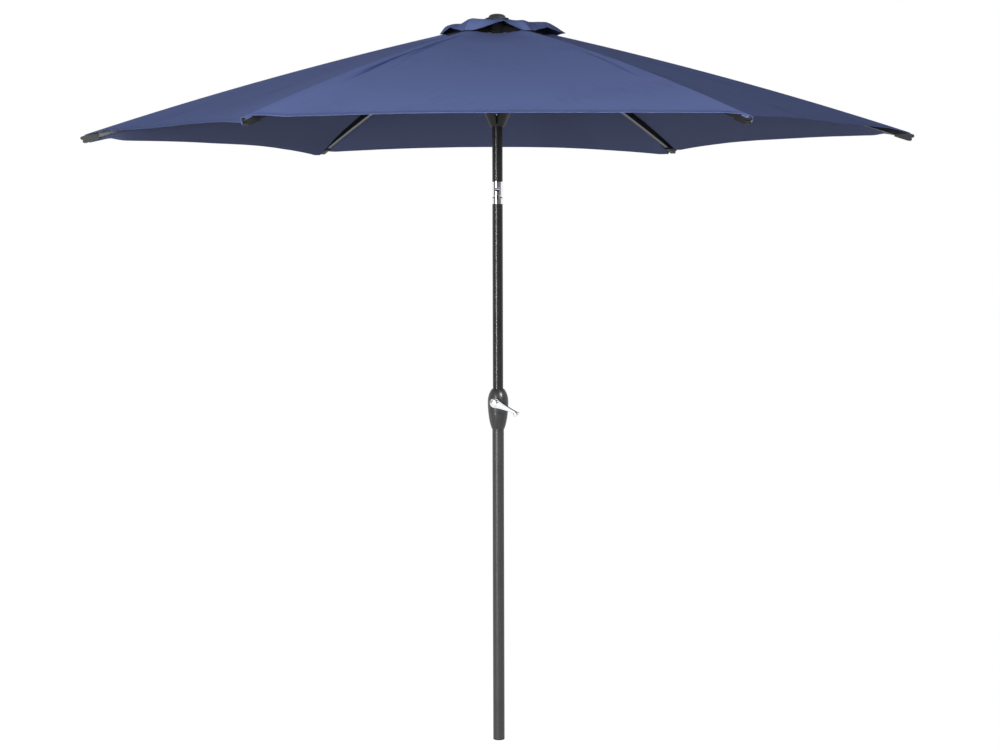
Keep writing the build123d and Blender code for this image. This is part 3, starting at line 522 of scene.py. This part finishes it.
def hem_line(number, share):
    """How far out along the panel's middle line the hem lies, from a rib (0) to mid panel (1)."""
    cut = CORNER_CUTS[number - 1]
    leaving = cut * smooth_step(0, CORNER_CUT_SHARE, share)
    return CANOPY_CORNER_OUT - leaving - (HEM_DIP - cut) * bowed(share)


def panel_drop(number, side, away, share, radius):
    """How far a panel hangs below its rib.

    The place is given by its distance from the rib, its share of the way to mid panel and its
    distance from the mast.
    """
    panel, end = (number - 1, 0) if side > 0 else ((number - 2) % RIBS, 1)
    middle = PANEL_DROPS[panel][1]
    near = PANEL_DROPS[panel][2 * end]
    tuck = PANEL_TUCKS[panel][end]
    rise = (radius / CANOPY_CORNER_RADIUS) ** DROP_GROWTH
    fall = tuck * smooth_step(FOLD_START, TUCK_END, away) * rise**TUCK_POWER
    fold = smooth_step(FOLD_START, CORNER_FOLDS[number - 1], away)
    fall += (1 - tuck) * fold * rise**FOLD_POWER
    return near * fall * (1 - share) ** 2 + middle * bowed(share) * rise


def canopy_half(number, side):
    """The cloth from the seam over a rib to the middle of the panel on one side of it."""
    turn = rib_turn(number)
    edge = TAPE_HALF_WIDTH / cos(HALF_SECTOR)
    inner_rows = CANOPY_ROWS - len(HEM_ROWS) + 1

    def place(row, column):
        share = (column / CANOPY_COLUMNS) ** COLUMN_CROWDING
        hem = hem_line(number, share)
        from_hem = CANOPY_ROWS - row
        if from_hem < len(HEM_ROWS):
            out = hem - HEM_ROWS[from_hem]
        else:
            out = CANOPY_INNER_OUT + (hem - HEM_WIDTH - CANOPY_INNER_OUT) * row / inner_rows
        width = out * tan(HALF_SECTOR)
        away = edge + (width - edge) * share
        radius = out / cos(HALF_SECTOR)
        x = out * cos(HALF_SECTOR) + (width - away) * sin(HALF_SECTOR)
        y = side * (out * sin(HALF_SECTOR) - (width - away) * cos(HALF_SECTOR))
        spot = turn @ Vector((x, y, cloth_height(radius)))
        spot.z -= panel_drop(number, side, away, share, radius)
        near_mast = 1 - smooth_step(0, INNER_SAG_REACH, out - CANOPY_INNER_OUT)
        spot.z -= INNER_SAG * bowed(share) * near_mast
        spot.z += cloth_unrest(spot.x, spot.y) * smooth_step(UNREST_START, UNREST_FULL, away)
        pucker = pucker_depth(number, side, x, abs(y))
        pucker *= smooth_step(PUCKER_START, PUCKER_FULL, away)
        spot.z -= pucker
        # The hem is turned under: thicker than the panel, with a lip at its edge
        if from_hem < len(HEM_ROWS) - 1:
            spot.z += HEM_LIFT
        if from_hem == 0:
            spot.z -= HEM_LIP
        # The third value is how much painted crease shade the cloth takes there
        return spot, (side * away, radius), min(1, pucker / PUCKER_FULL_SHADE)

    bm, area = cloth_grid(CANOPY_ROWS, CANOPY_COLUMNS, place)
    thicken(bm, CLOTH)
    name = f"canopy_cloth_{number}_{'after' if side > 0 else 'before'}"
    piece = new_piece(name, bm, CLOTH_FINISH, f"rib_{number}")
    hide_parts(f"canopy_gore_{number}")
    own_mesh(piece)


def seam_tape(number):
    """The lapped seam over a rib, from the canopy's inner edge to its corner."""
    turn = rib_turn(number)
    run = CANOPY_CORNER_RADIUS - CANOPY_INNER_RADIUS

    def place(row, column):
        aside = TAPE_HALF_WIDTH * (2 * column / TAPE_COLUMNS - 1)
        radius = CANOPY_INNER_RADIUS + run * row / CANOPY_ROWS
        height = cloth_height(radius + abs(aside) * tan(HALF_SECTOR))
        if abs(aside) < TAPE_LIFTED_SHARE * TAPE_HALF_WIDTH:
            height += TAPE_LIFT
        return turn @ Vector((radius, aside, height)), (aside, radius), 0

    bm, area = cloth_grid(CANOPY_ROWS, TAPE_COLUMNS, place)
    thicken(bm, CLOTH)
    name = f"canopy_seam_{number}"
    piece = new_piece(name, bm, CLOTH_FINISH, f"rib_{number}")


# Vent cap over the canopy's opening

VENT_CREST = 2.3596
VENT_INNER_RADIUS = 0.042
VENT_ROWS = 44
VENT_COLUMNS = 56
# Over each rib: how far out the vent's corner lies, then the height of the ridge at two
# distances from the mast and at the corner
VENT_STATIONS = (0.1, 0.165)
VENT_RIDGES = (
    (0.222, 2.3545, 2.3520, 2.318),
    (0.205, 2.3530, 2.3460, 2.312),
    (0.205, 2.3530, 2.3460, 2.312),
    (0.186, 2.3520, 2.3410, 2.318),
    (0.206, 2.3515, 2.3505, 2.312),
    (0.212, 2.3510, 2.3450, 2.312),
)
# How high the vent's hem arches in each panel, and where across it, from the panel after rib 1
VENT_ARCHES = (
    (2.315, 0.5),
    (2.316, 0.5),
    (2.315, 0.5),
    (2.332, 0.45),
    (2.3445, 0.61),
    (2.328, 0.5),
)
# The share of a panel by each rib that stays on the ridge, and how the arch rises and falls
VENT_FOOT = 0.09
ARCH_POWER = 1.15
ARCH_FALL = 0.8
# The loose cloth's crumples: broad and fine width, height, and where they start and are full
CRUMPLE_BROAD, CRUMPLE_FINE = 0.055, 0.024
CRUMPLE_HEIGHT = 3.4 * MM
CRUMPLE_START, CRUMPLE_FULL = 0.15, 0.6


def curve_through(points, place):
    """A smooth curve through points, read off at a place."""
    last = len(points) - 1
    slopes = []
    for i in range(len(points)):
        before, after = points[max(i - 1, 0)], points[min(i + 1, last)]
        slopes.append((after[1] - before[1]) / (after[0] - before[0]))
    i = max(k for k in range(last) if k == 0 or place >= points[k][0])
    (x0, y0), (x1, y1) = points[i], points[i + 1]
    span = x1 - x0
    t = (place - x0) / span
    return (
        (2 * t**3 - 3 * t**2 + 1) * y0
        + (t**3 - 2 * t**2 + t) * span * slopes[i]
        + (3 * t**2 - 2 * t**3) * y1
        + (t**3 - t**2) * span * slopes[i + 1]
    )


def vent_ridge(number, out):
    """Height of the vent over a rib, from its inner edge (0) to its corner (1)."""
    corner, *heights = VENT_RIDGES[number - 1]
    points = [(VENT_INNER_RADIUS, VENT_CREST), *zip((*VENT_STATIONS, corner), heights)]
    return curve_through(points, VENT_INNER_RADIUS + (corner - VENT_INNER_RADIUS) * out)


def vent_gore(number):
    """The vent cap's loose cloth round one rib, to the middle of the panels beside it."""
    half = VENT_COLUMNS // 2

    def place(row, column):
        side = 1 if column >= half else -1
        share = abs(column - half) / half
        out = row / VENT_ROWS
        first = number if side > 0 else (number - 2) % RIBS + 1
        second = first % RIBS + 1
        across = share / 2 if side > 0 else 1 - share / 2
        start, end = VENT_RIDGES[first - 1][0], VENT_RIDGES[second - 1][0]
        turn = across * SECTOR
        hem = start * end * sin(SECTOR) / (start * sin(turn) + end * sin(SECTOR - turn))
        radius = VENT_INNER_RADIUS + (hem - VENT_INNER_RADIUS) * out
        # Ridges over the ribs with drooping corners, and an arched hem between them
        top, peak = VENT_ARCHES[first - 1]
        ridge = vent_ridge(first, out) * (1 - across) + vent_ridge(second, out) * across
        middle = VENT_CREST + (top - VENT_CREST) * out**ARCH_FALL
        if across < peak:
            lift = (across - VENT_FOOT) / (peak - VENT_FOOT)
        else:
            lift = (1 - VENT_FOOT - across) / (1 - VENT_FOOT - peak)
        height = ridge + (middle - ridge) * max(0, lift) ** ARCH_POWER
        spin = Matrix.Rotation((first - 1) * SECTOR + turn, 3, "Z")
        spot = spin @ Vector((radius, 0, height))
        crumple = noise.noise(spot / CRUMPLE_BROAD) + 0.5 * noise.noise(spot / CRUMPLE_FINE)
        spot.z += CRUMPLE_HEIGHT * smooth_step(CRUMPLE_START, CRUMPLE_FULL, out) * crumple
        # It rests on the canopy where it comes down to it
        below = cloth_height(radius * cos(HALF_SECTOR - turn) / cos(HALF_SECTOR))
        spot.z = max(spot.z, below + HEM_LIFT + 2 * CLOTH)
        return spot, (side * share * HALF_SECTOR * radius, radius), 0

    bm, area = cloth_grid(VENT_ROWS, VENT_COLUMNS, place)
    thicken(bm, CLOTH)
    piece = new_piece(f"vent_cloth_{number}", bm, VENT_PAINTED_SHADE_FINISH, f"rib_{number}")
    if number == 1:
        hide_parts("vent_cap")
    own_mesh(piece)


# The patch on the crown, as radius and height from its hole to its edge
PATCH_RADIUS = 0.051
PATCH_PROFILE = ((5 * MM, 2.3626), (0.040, 2.3626), (PATCH_RADIUS, 2.3603))
PATCH_CUTS = 4


def crown_patch():
    """The stiffened ring of cloth under the finial, where the vent's gores are sewn together."""
    bm = turned(PATCH_PROFILE, PATCH_CUTS)
    uv_layer = bm.loops.layers.uv.new("cloth")
    face_towards(bm, UP)
    for face in bm.faces:
        for loop in face.loops:
            loop[uv_layer].uv = loop.vert.co.xy
    area = sheet_area(bm)
    thicken(bm, CLOTH)
    piece = new_piece("vent_crown_patch", bm, CLOTH_FINISH, "mast")


# Hoods over the rib ends, along and round the rib's middle line
POCKET_START = 1.334
POCKET_END = 1.3615
POCKET_HALF_WIDTH = 9.6 * MM
POCKET_TOP = 13.2 * MM
POCKET_CORNER = 7.5 * MM
POCKET_CLOTH = 2 * CLOTH
POCKET_ROWS = 10
POCKET_COLUMNS = 28
# Height of the lower edge at a hood's inner end, and at its outer end on its two sides by rib
POCKET_INNER_EDGE = 2 * MM
POCKET_EDGES = {
    2: (-1 * MM, -1 * MM),
    3: (-1 * MM, -1 * MM),
    5: (-9 * MM, 5.5 * MM),
    6: (5.5 * MM, -7 * MM),
}


def tip_pocket(number):
    """The hood of doubled cloth at a corner that is pulled over the end of a rib."""
    turn = rib_turn(number)
    shoulder = POCKET_TOP - POCKET_CORNER
    length = POCKET_END - POCKET_START

    def place(row, column):
        share = row / POCKET_ROWS
        along = POCKET_START + length * share
        girth = column / POCKET_COLUMNS * 2 - 1
        side = 1 if girth > 0 else -1
        edge = POCKET_EDGES[number][girth > 0]
        bottom = max(POCKET_INNER_EDGE, edge) + min(0, edge - POCKET_INNER_EDGE) * share
        wall = (shoulder - bottom) / (shoulder - bottom + POCKET_HALF_WIDTH)
        if abs(girth) > 1 - wall:
            down = (abs(girth) - (1 - wall)) / wall
            aside, above = POCKET_HALF_WIDTH, shoulder + (bottom - shoulder) * down
        else:
            sweep = abs(girth) / (1 - wall) * pi / 2
            aside, above = POCKET_HALF_WIDTH * sin(sweep), shoulder + POCKET_CORNER * cos(sweep)
        out, height = rib_point(along, above)
        return turn @ Vector((out, side * aside, height)), (side * aside, along), 0

    bm, area = cloth_grid(POCKET_ROWS, POCKET_COLUMNS, place)
    thicken(bm, POCKET_CLOTH)
    name = f"canopy_pocket_{number}"
    piece = new_piece(name, bm, CLOTH_FINISH, f"rib_{number}")


for rib in range(1, RIBS + 1):
    canopy_half(rib, -1)
    canopy_half(rib, 1)
    seam_tape(rib)
    vent_gore(rib)
for rib in POCKET_EDGES:
    tip_pocket(rib)
crown_patch()


# Small parts

OUTSIDE = 0.2  # further from the axis than any face that is looked for
EDGE_CELLS = 1.5  # how many cells of a raised field its sloping edge takes
EDGE_SINK = 0.3 * MM


def lathe(name, profile, finish, body, place=Matrix.Identity(4)):
    """A turned piece from (radius, height) points, round the mast or where place puts it."""
    bm = turned(profile)
    bmesh.ops.transform(bm, matrix=place, verts=bm.verts)
    bmesh.ops.recalc_face_normals(bm, faces=bm.faces)
    return new_piece(name, bm, finish, body)


def surface_at(node, angle, height):
    """The point and normal of a solid's outer face, at an angle from the front and a height."""
    outward = Vector((sin(angle), -cos(angle), 0))
    start = outward * OUTSIDE + Vector((0, 0, height))
    solid = frame["nodes"][node]
    inverse = solid.matrix_world.inverted()
    inward = (inverse.to_3x3() @ -outward).normalized()
    hit, spot, normal, _ = solid.ray_cast(inverse @ start, inward)
    assert hit, (node, angle, height)
    return solid.matrix_world @ spot, (solid.matrix_world.to_3x3() @ normal).normalized()


def raised_panel(name, node, outline, lift, finish, body, rows=28, columns=36):
    """A thin raised field on the front of a solid.

    outline(share) gives its height and its first and last angle, from its foot to its top. It
    spans any hole in the solid, from edge to edge.
    """
    bm = bmesh.new()
    bmesh.ops.create_grid(bm, x_segments=rows, y_segments=columns, size=1)
    for vert in bm.verts:
        up, across = (vert.co.x + 1) / 2, (vert.co.y + 1) / 2
        height, first, last = outline(up)
        spot, normal = surface_at(node, first + (last - first) * across, height)
        if spot.dot(FRONT) < 0:  # seen through a hole, on the far side
            left, right = surface_at(node, first, height), surface_at(node, last, height)
            spot = left[0].lerp(right[0], across)
            normal = left[1].lerp(right[1], across).normalized()
        cells = min(min(up, 1 - up) * rows, min(across, 1 - across) * columns)
        rise = lift * min(1, cells / EDGE_CELLS)
        if cells < 0.5:  # the rim itself, sunk into the solid
            rise -= EDGE_SINK
        vert.co = spot + normal * rise
    face_towards(bm, FRONT)
    new_piece(name, bm, finish, body)


FINIAL_PROFILE = (
    (0, 2.3632), (0.0375, 2.3632), (0.0385, 2.3645), (0.0382, 2.3663), (0.0368, 2.3674),
    (0.0288, 2.3681), (0.0280, 2.3692), (0.0274, 2.3716), (0.0258, 2.3745), (0.0228, 2.3772),
    (0.0182, 2.3793), (0.0105, 2.3809), (0, 2.3815),
)
finial = lathe("finial_cap", FINIAL_PROFILE, FINISHES["black_plastic"], "mast")
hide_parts("finial")


# Crank handle, in its own frame: along the arm, across it and out along the shaft
HANDLE_HUB = Vector(JOINTS["crank_turn"]["pos_m"])
HANDLE_OUT = Vector(JOINTS["crank_turn"]["axis"])
HANDLE_ARM = Vector(JOINTS["knob_spin"]["pos_m"]) - HANDLE_HUB
HANDLE_LENGTH = HANDLE_ARM.length
HANDLE_ARM.normalize()
HANDLE_AXES = Matrix((HANDLE_ARM, HANDLE_OUT.cross(HANDLE_ARM), HANDLE_OUT)).transposed()
HANDLE_FRAME = Matrix.Translation(HANDLE_HUB) @ HANDLE_AXES.to_4x4()
HANDLE_HUB_RADIUS = 16.5 * MM
HANDLE_END_RADIUS = 5.4 * MM
HANDLE_TAPER = 62 * MM
HANDLE_ROWS = 90
HANDLE_COLUMNS = 48
# Powers that round the arm's section: 1 is an ellipse, and less is squarer
HANDLE_SIDE_POWER = 0.8
HANDLE_UPPER_POWER = 1.3
HANDLE_LOWER_POWER = 0.8
# Powers by which the arm keeps its thickness towards its two ends, and then thins out
HANDLE_NOSE_POWERS = (6, 0.45)
# Radius, and height over the arm's front, in mm
CAP_PROFILE = (
    (0, 3.4), (5, 3.35), (8.4, 3.1), (9.9, 2.6), (10.9, 1.8), (11.6, 0.8), (12, 0), (12, -1),
    (0, -1),
)
KNOB_PROFILE = (
    (0, 0.6), (4.6, 0.6), (5, 1.2), (5.4, 6), (6.8, 13), (8.2, 19), (8.6, 22.5), (8.2, 25.4),
    (6.9, 27.3), (4.6, 28.1), (0, 28.4),
)


def signed_power(value, power):
    return abs(value) ** power * (1 if value > 0 else -1)


def crank_arm(back, front):
    """The die-cast crank arm: a round hub that tapers to the knob, with rounded edges."""
    full, thinning = HANDLE_NOSE_POWERS
    bm = bmesh.new()
    bmesh.ops.create_grid(bm, x_segments=HANDLE_ROWS, y_segments=HANDLE_COLUMNS, size=1)
    for vert in bm.verts:
        # Rows crowd at both ends, where the outline turns
        share = (1 - cos((vert.co.x + 1) * pi / 2)) / 2
        overall = HANDLE_LENGTH + HANDLE_HUB_RADIUS + HANDLE_END_RADIUS
        along = -HANDLE_HUB_RADIUS + overall * share
        past = along - HANDLE_LENGTH
        hub = sqrt(max(0, HANDLE_HUB_RADIUS**2 - along**2))
        end = sqrt(max(0, HANDLE_END_RADIUS**2 - past**2))
        taper = HANDLE_HUB_RADIUS * exp(-along / HANDLE_TAPER) if along > 0 > past else 0
        outside = max(0, -along / HANDLE_HUB_RADIUS, past / HANDLE_END_RADIUS)
        thick = (front - back) / 2 * max(0, 1 - outside**full) ** thinning
        turn = (vert.co.y + 1) * pi
        across = max(hub, end, taper) * signed_power(cos(turn), HANDLE_SIDE_POWER)
        edge = HANDLE_UPPER_POWER if across > 0 else HANDLE_LOWER_POWER
        out = thick * signed_power(sin(turn), edge)
        vert.co = (along, across, (back + front) / 2 + out)
    bmesh.ops.remove_doubles(bm, verts=bm.verts, dist=MERGE_DISTANCE)
    bmesh.ops.transform(bm, matrix=HANDLE_FRAME, verts=bm.verts)
    bmesh.ops.recalc_face_normals(bm, faces=bm.faces)
    arm = new_piece("crank_arm", bm, FINISHES["chrome"], "crank")
    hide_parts("crank_handle")


def crank_fittings(front):
    """The domed cap over the shaft's end and the flared knob, both turned and plated."""
    rim = [(radius * MM, front + height * MM) for radius, height in CAP_PROFILE]
    cap = lathe("crank_cap", rim, FINISHES["chrome"], "crank", HANDLE_FRAME)
    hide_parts("handle_cap")
    bulb = [(radius * MM, front + height * MM) for radius, height in KNOB_PROFILE]
    at_end = HANDLE_FRAME @ Matrix.Translation((HANDLE_LENGTH, 0, 0))
    knob = lathe("crank_knob", bulb, FINISHES["chrome"], "knob", at_end)
    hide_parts("handle_knob")


handle_corners = frame["nodes"]["crank_handle"].data.vertices
handle_depths = [(vert.co - HANDLE_HUB).dot(HANDLE_OUT) for vert in handle_corners]
crank_arm(min(handle_depths), max(handle_depths))
crank_fittings(max(handle_depths))


# Shield on the lower front of the crank housing: half its width as an angle, which grows
# towards the top, and is drawn in at the shoulders and at the foot
SHIELD_FOOT = 1.0405
SHIELD_HEIGHT = 0.0505
SHIELD_LIFT = 1.5 * MM
SHIELD_ANGLE = 44
SHIELD_FLARE = 4
SHIELD_SHOULDER, SHOULDER_START = 10, 0.86
SHIELD_HEEL, HEEL_END = 6, 0.1


def shield_outline(share):
    """The field on the crank housing, from its foot to its shoulders."""
    angle = SHIELD_ANGLE + SHIELD_FLARE * share
    angle -= SHIELD_SHOULDER * smooth_step(SHOULDER_START, 1.0, share)
    angle -= SHIELD_HEEL * (1 - smooth_step(0, HEEL_END, share))
    half = radians(angle)
    return SHIELD_FOOT + SHIELD_HEIGHT * share, -half, half


# A dead black strip on the runner, a little to the left of its front, as painted shade of the slot there, and the
# rivet at its top
SLOT_SHADE_FOOT = 2.0275
SLOT_SHADE_LENGTH = 0.030
SLOT_SHADE_HALF_WIDTH = 4.2 * MM
SLOT_SHADE_TURN = radians(-3)
SLOT_SHADE_LIFT = 0.8 * MM
RIVET_RADIUS = 3 * MM
RIVET_HEIGHT = 2.0565
RIVET_PROUD = 0.6 * MM


def slot_shade_outline(share):
    """The painted-shade strip for the slot on the front of the runner."""
    height = SLOT_SHADE_FOOT + SLOT_SHADE_LENGTH * share
    spot, _ = surface_at("runner", 0, height)
    half = SLOT_SHADE_HALF_WIDTH / hypot(spot.x, spot.y)
    return height, SLOT_SHADE_TURN - half, SLOT_SHADE_TURN + half


def slot_rivet():
    """The small steel rivet at the top of the painted-shade strip."""
    bm = bmesh.new()
    bmesh.ops.create_uvsphere(bm, u_segments=24, v_segments=16, radius=RIVET_RADIUS)
    spot, normal = surface_at("runner", SLOT_SHADE_TURN, RIVET_HEIGHT)
    bmesh.ops.translate(bm, verts=bm.verts, vec=spot + normal * RIVET_PROUD)
    new_piece("runner_slot_rivet", bm, FINISHES["steel"], "runner")


SPRING_WIRE = 0.3 * MM
SPRING_TURNS = 2.5
SPRING_STEPS = 90


def button_spring():
    """The coil behind the tilt button."""
    solid = frame["nodes"]["tilt_button_spring"]
    corners = [solid.matrix_world @ Vector(corner) for corner in solid.bound_box]
    low, high = (Vector(map(pick, zip(*corners))) for pick in (min, max))
    middle = (low + high) / 2
    coil = (high.x - low.x) / 2 - SPRING_WIRE
    climb = (high.y - low.y - 2 * SPRING_WIRE) / SPRING_STEPS
    start = Vector((middle.x + coil, low.y + SPRING_WIRE, middle.z))
    bm = bmesh.new()
    at_start = Matrix.Translation(start)
    bmesh.ops.create_circle(bm, segments=12, radius=SPRING_WIRE, matrix=at_start)
    bmesh.ops.spin(
        bm,
        geom=bm.verts[:] + bm.edges[:],
        axis=(0, 1, 0),
        cent=(middle.x, start.y, middle.z),
        dvec=(0, climb, 0),
        angle=2 * pi * SPRING_TURNS,
        steps=SPRING_STEPS,
        use_merge=False,
    )
    bmesh.ops.remove_doubles(bm, verts=bm.verts, dist=MERGE_DISTANCE / 10)
    bmesh.ops.holes_fill(bm, edges=[edge for edge in bm.edges if edge.is_boundary])
    bmesh.ops.recalc_face_normals(bm, faces=bm.faces)
    piece = new_piece("button_spring", bm, FINISHES["steel"], "pole")
    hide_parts("tilt_button_spring")
    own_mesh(piece)


raised_panel(
    "housing_shield",
    "crank_housing_front",
    shield_outline,
    SHIELD_LIFT,
    FINISHES["housing_plastic"],
    "pole",
)
# Painted shade: a dead black strip where the runner's slot is dark
raised_panel(
    "runner_slot_shade",
    "runner",
    slot_shade_outline,
    SLOT_SHADE_LIFT,
    SLOT_SHADE_FINISH,
    "runner",
    rows=20,
    columns=8,
)
button_spring()
slot_rivet()


# Studio

WHITE = (1, 1, 1, 1)
ROOM_LIGHT = 0.2
FLOOR_HALF = 40
FLOOR_GLOW = 1.11
FLOOR_GLOW_SHARE = 0.9
FLAG_RADIUS = 7.8
FLAG_HALF_HEIGHT = 2.3


def seen_directly(tree):
    """1 for what the camera sees straight or in metal and glass, 0 for light falling on things."""
    path = add_node(tree, "ShaderNodeLightPath")
    shiny = add_node(
        tree,
        "ShaderNodeMath",
        {0: path.outputs["Is Glossy Ray"], 1: path.outputs["Is Transmission Ray"]},
        operation="MAXIMUM",
    )
    seen = add_node(
        tree,
        "ShaderNodeMath",
        {0: path.outputs["Is Camera Ray"], 1: shiny.outputs[0]},
        operation="MAXIMUM",
    )
    return seen.outputs[0]


def white_floor():
    """Matt white vinyl: it shows as white paper with a light shadow where the pole stands."""
    material, tree = new_material("matt_white_vinyl")
    paper = add_node(tree, "ShaderNodeBsdfDiffuse", {"Color": linear("#909090")})
    glow = add_node(tree, "ShaderNodeEmission", {"Color": WHITE, "Strength": FLOOR_GLOW})
    share = add_node(
        tree, "ShaderNodeMath", {0: seen_directly(tree), 1: FLOOR_GLOW_SHARE}, operation="MULTIPLY"
    )
    vinyl = add_node(
        tree,
        "ShaderNodeMixShader",
        {0: share.outputs[0], 1: paper.outputs[0], 2: glow.outputs[0]},
    )
    add_node(tree, "ShaderNodeOutputMaterial", {"Surface": vinyl.outputs[0]})
    bm = bmesh.new()
    bmesh.ops.create_grid(bm, x_segments=4, y_segments=4, size=FLOOR_HALF)
    new_object("floor", bm, material)


def studio_world():
    """A white room: plain soft light on things, and white where it is seen."""
    world = bpy.data.worlds.new("white_studio")
    bpy.context.scene.world = world
    world.use_nodes = True
    tree = world.node_tree
    tree.nodes.clear()
    room = add_node(tree, "ShaderNodeBackground", {"Color": WHITE, "Strength": ROOM_LIGHT})
    paper = add_node(tree, "ShaderNodeBackground", {"Color": WHITE, "Strength": 1})
    mix = add_node(
        tree,
        "ShaderNodeMixShader",
        {0: seen_directly(tree), 1: room.outputs[0], 2: paper.outputs[0]},
    )
    add_node(tree, "ShaderNodeOutputWorld", {"Surface": mix.outputs[0]})


def soft_box(name, place, aim, size, power, lights=True, glints=True):
    """A soft box; it lights things, gives shiny parts their highlights, or does both."""
    light = bpy.data.lights.new(name, "AREA")
    light.shape = "RECTANGLE"
    light.size, light.size_y = size
    light.energy = power
    lamp = bpy.data.objects.new(name, light)
    lamp.location = place
    lamp.rotation_euler = (Vector(aim) - Vector(place)).to_track_quat("-Z", "Y").to_euler()
    bpy.context.scene.collection.objects.link(lamp)
    lamp.visible_camera = False
    lamp.visible_diffuse = lights
    lamp.visible_glossy = glints


def grey_felt():
    """Wool felt: dull mid grey, without any shine."""
    material, tree = new_material("grey_studio_felt")
    felt = add_node(tree, "ShaderNodeBsdfDiffuse", {"Color": linear("#8c8c8c")})
    add_node(tree, "ShaderNodeOutputMaterial", {"Surface": felt.outputs[0]})
    return material


def felt_flag(name, felt, start, end):
    """A curved felt board round the front that darkens what shiny parts reflect."""
    bm = bmesh.new()
    bmesh.ops.create_grid(bm, x_segments=24, y_segments=2, size=1)
    for vert in bm.verts:
        angle = radians(start + (end - start) * (vert.co.x + 1) / 2)
        height = FLAG_HALF_HEIGHT + FLAG_HALF_HEIGHT * vert.co.y
        vert.co = (FLAG_RADIUS * sin(angle), -FLAG_RADIUS * cos(angle), height)
    board = new_object(name, bm, felt)
    board.visible_camera = False
    board.visible_diffuse = False
    board.visible_shadow = False


CAMERA_PLACE = (0.0066, -6.6007, 1.71056)
CAMERA_PITCH = radians(4.3266)
CAMERA_ROLL = radians(-0.15)
CAMERA_LENS = 72.787
CAMERA_SENSOR = 36


def studio_camera():
    """The camera at the height and distance from which the umbrella was seen."""
    camera = bpy.data.cameras.new("camera")
    camera.lens = CAMERA_LENS
    camera.sensor_width = CAMERA_SENSOR
    eye = bpy.data.objects.new("camera", camera)
    pitch = Matrix.Rotation(pi / 2 - CAMERA_PITCH, 4, "X")
    roll = Matrix.Rotation(CAMERA_ROLL, 4, "Z")
    eye.matrix_world = Matrix.Translation(CAMERA_PLACE) @ (pitch @ roll)
    bpy.context.scene.collection.objects.link(eye)
    bpy.context.scene.camera = eye


white_floor()
studio_world()
FELT = grey_felt()
felt_flag("flag_right", FELT, -14, 77)
felt_flag("flag_left", FELT, -87, -47)

CANOPY_AIM = (0, 0, 2.1)
KEY_PLACE, KEY_SIZE = (-1.7, -6.8, 2.3), (1.2, 1.6)
STRIP_PLACE, STRIP_AIM, STRIP_SIZE = (-3.4, -5.65, 1.9), (0, 0, 1.7), (0.35, 3.2)
TOP_PLACE, TOP_AIM, TOP_SIZE = (3.4, -3.8, 4.4), (0, 0, 1.4), (0.45, 0.45)
BACK_SIZE = (1.2, 1.2)
soft_box("key_light", KEY_PLACE, CANOPY_AIM, KEY_SIZE, 615, glints=False)
soft_box("strip_light", STRIP_PLACE, STRIP_AIM, STRIP_SIZE, 370, lights=False)
soft_box("top_light", TOP_PLACE, TOP_AIM, TOP_SIZE, 24, glints=False)
soft_box("glint_light", TOP_PLACE, TOP_AIM, TOP_SIZE, 360, lights=False)
soft_box("back_right_light", (2.1, 6.6, 2.5), CANOPY_AIM, BACK_SIZE, 270, glints=False)
soft_box("back_left_light", (-2.1, 6.6, 2.5), CANOPY_AIM, BACK_SIZE, 270, glints=False)
studio_camera()
bpy.context.scene.view_settings.view_transform = "Standard"
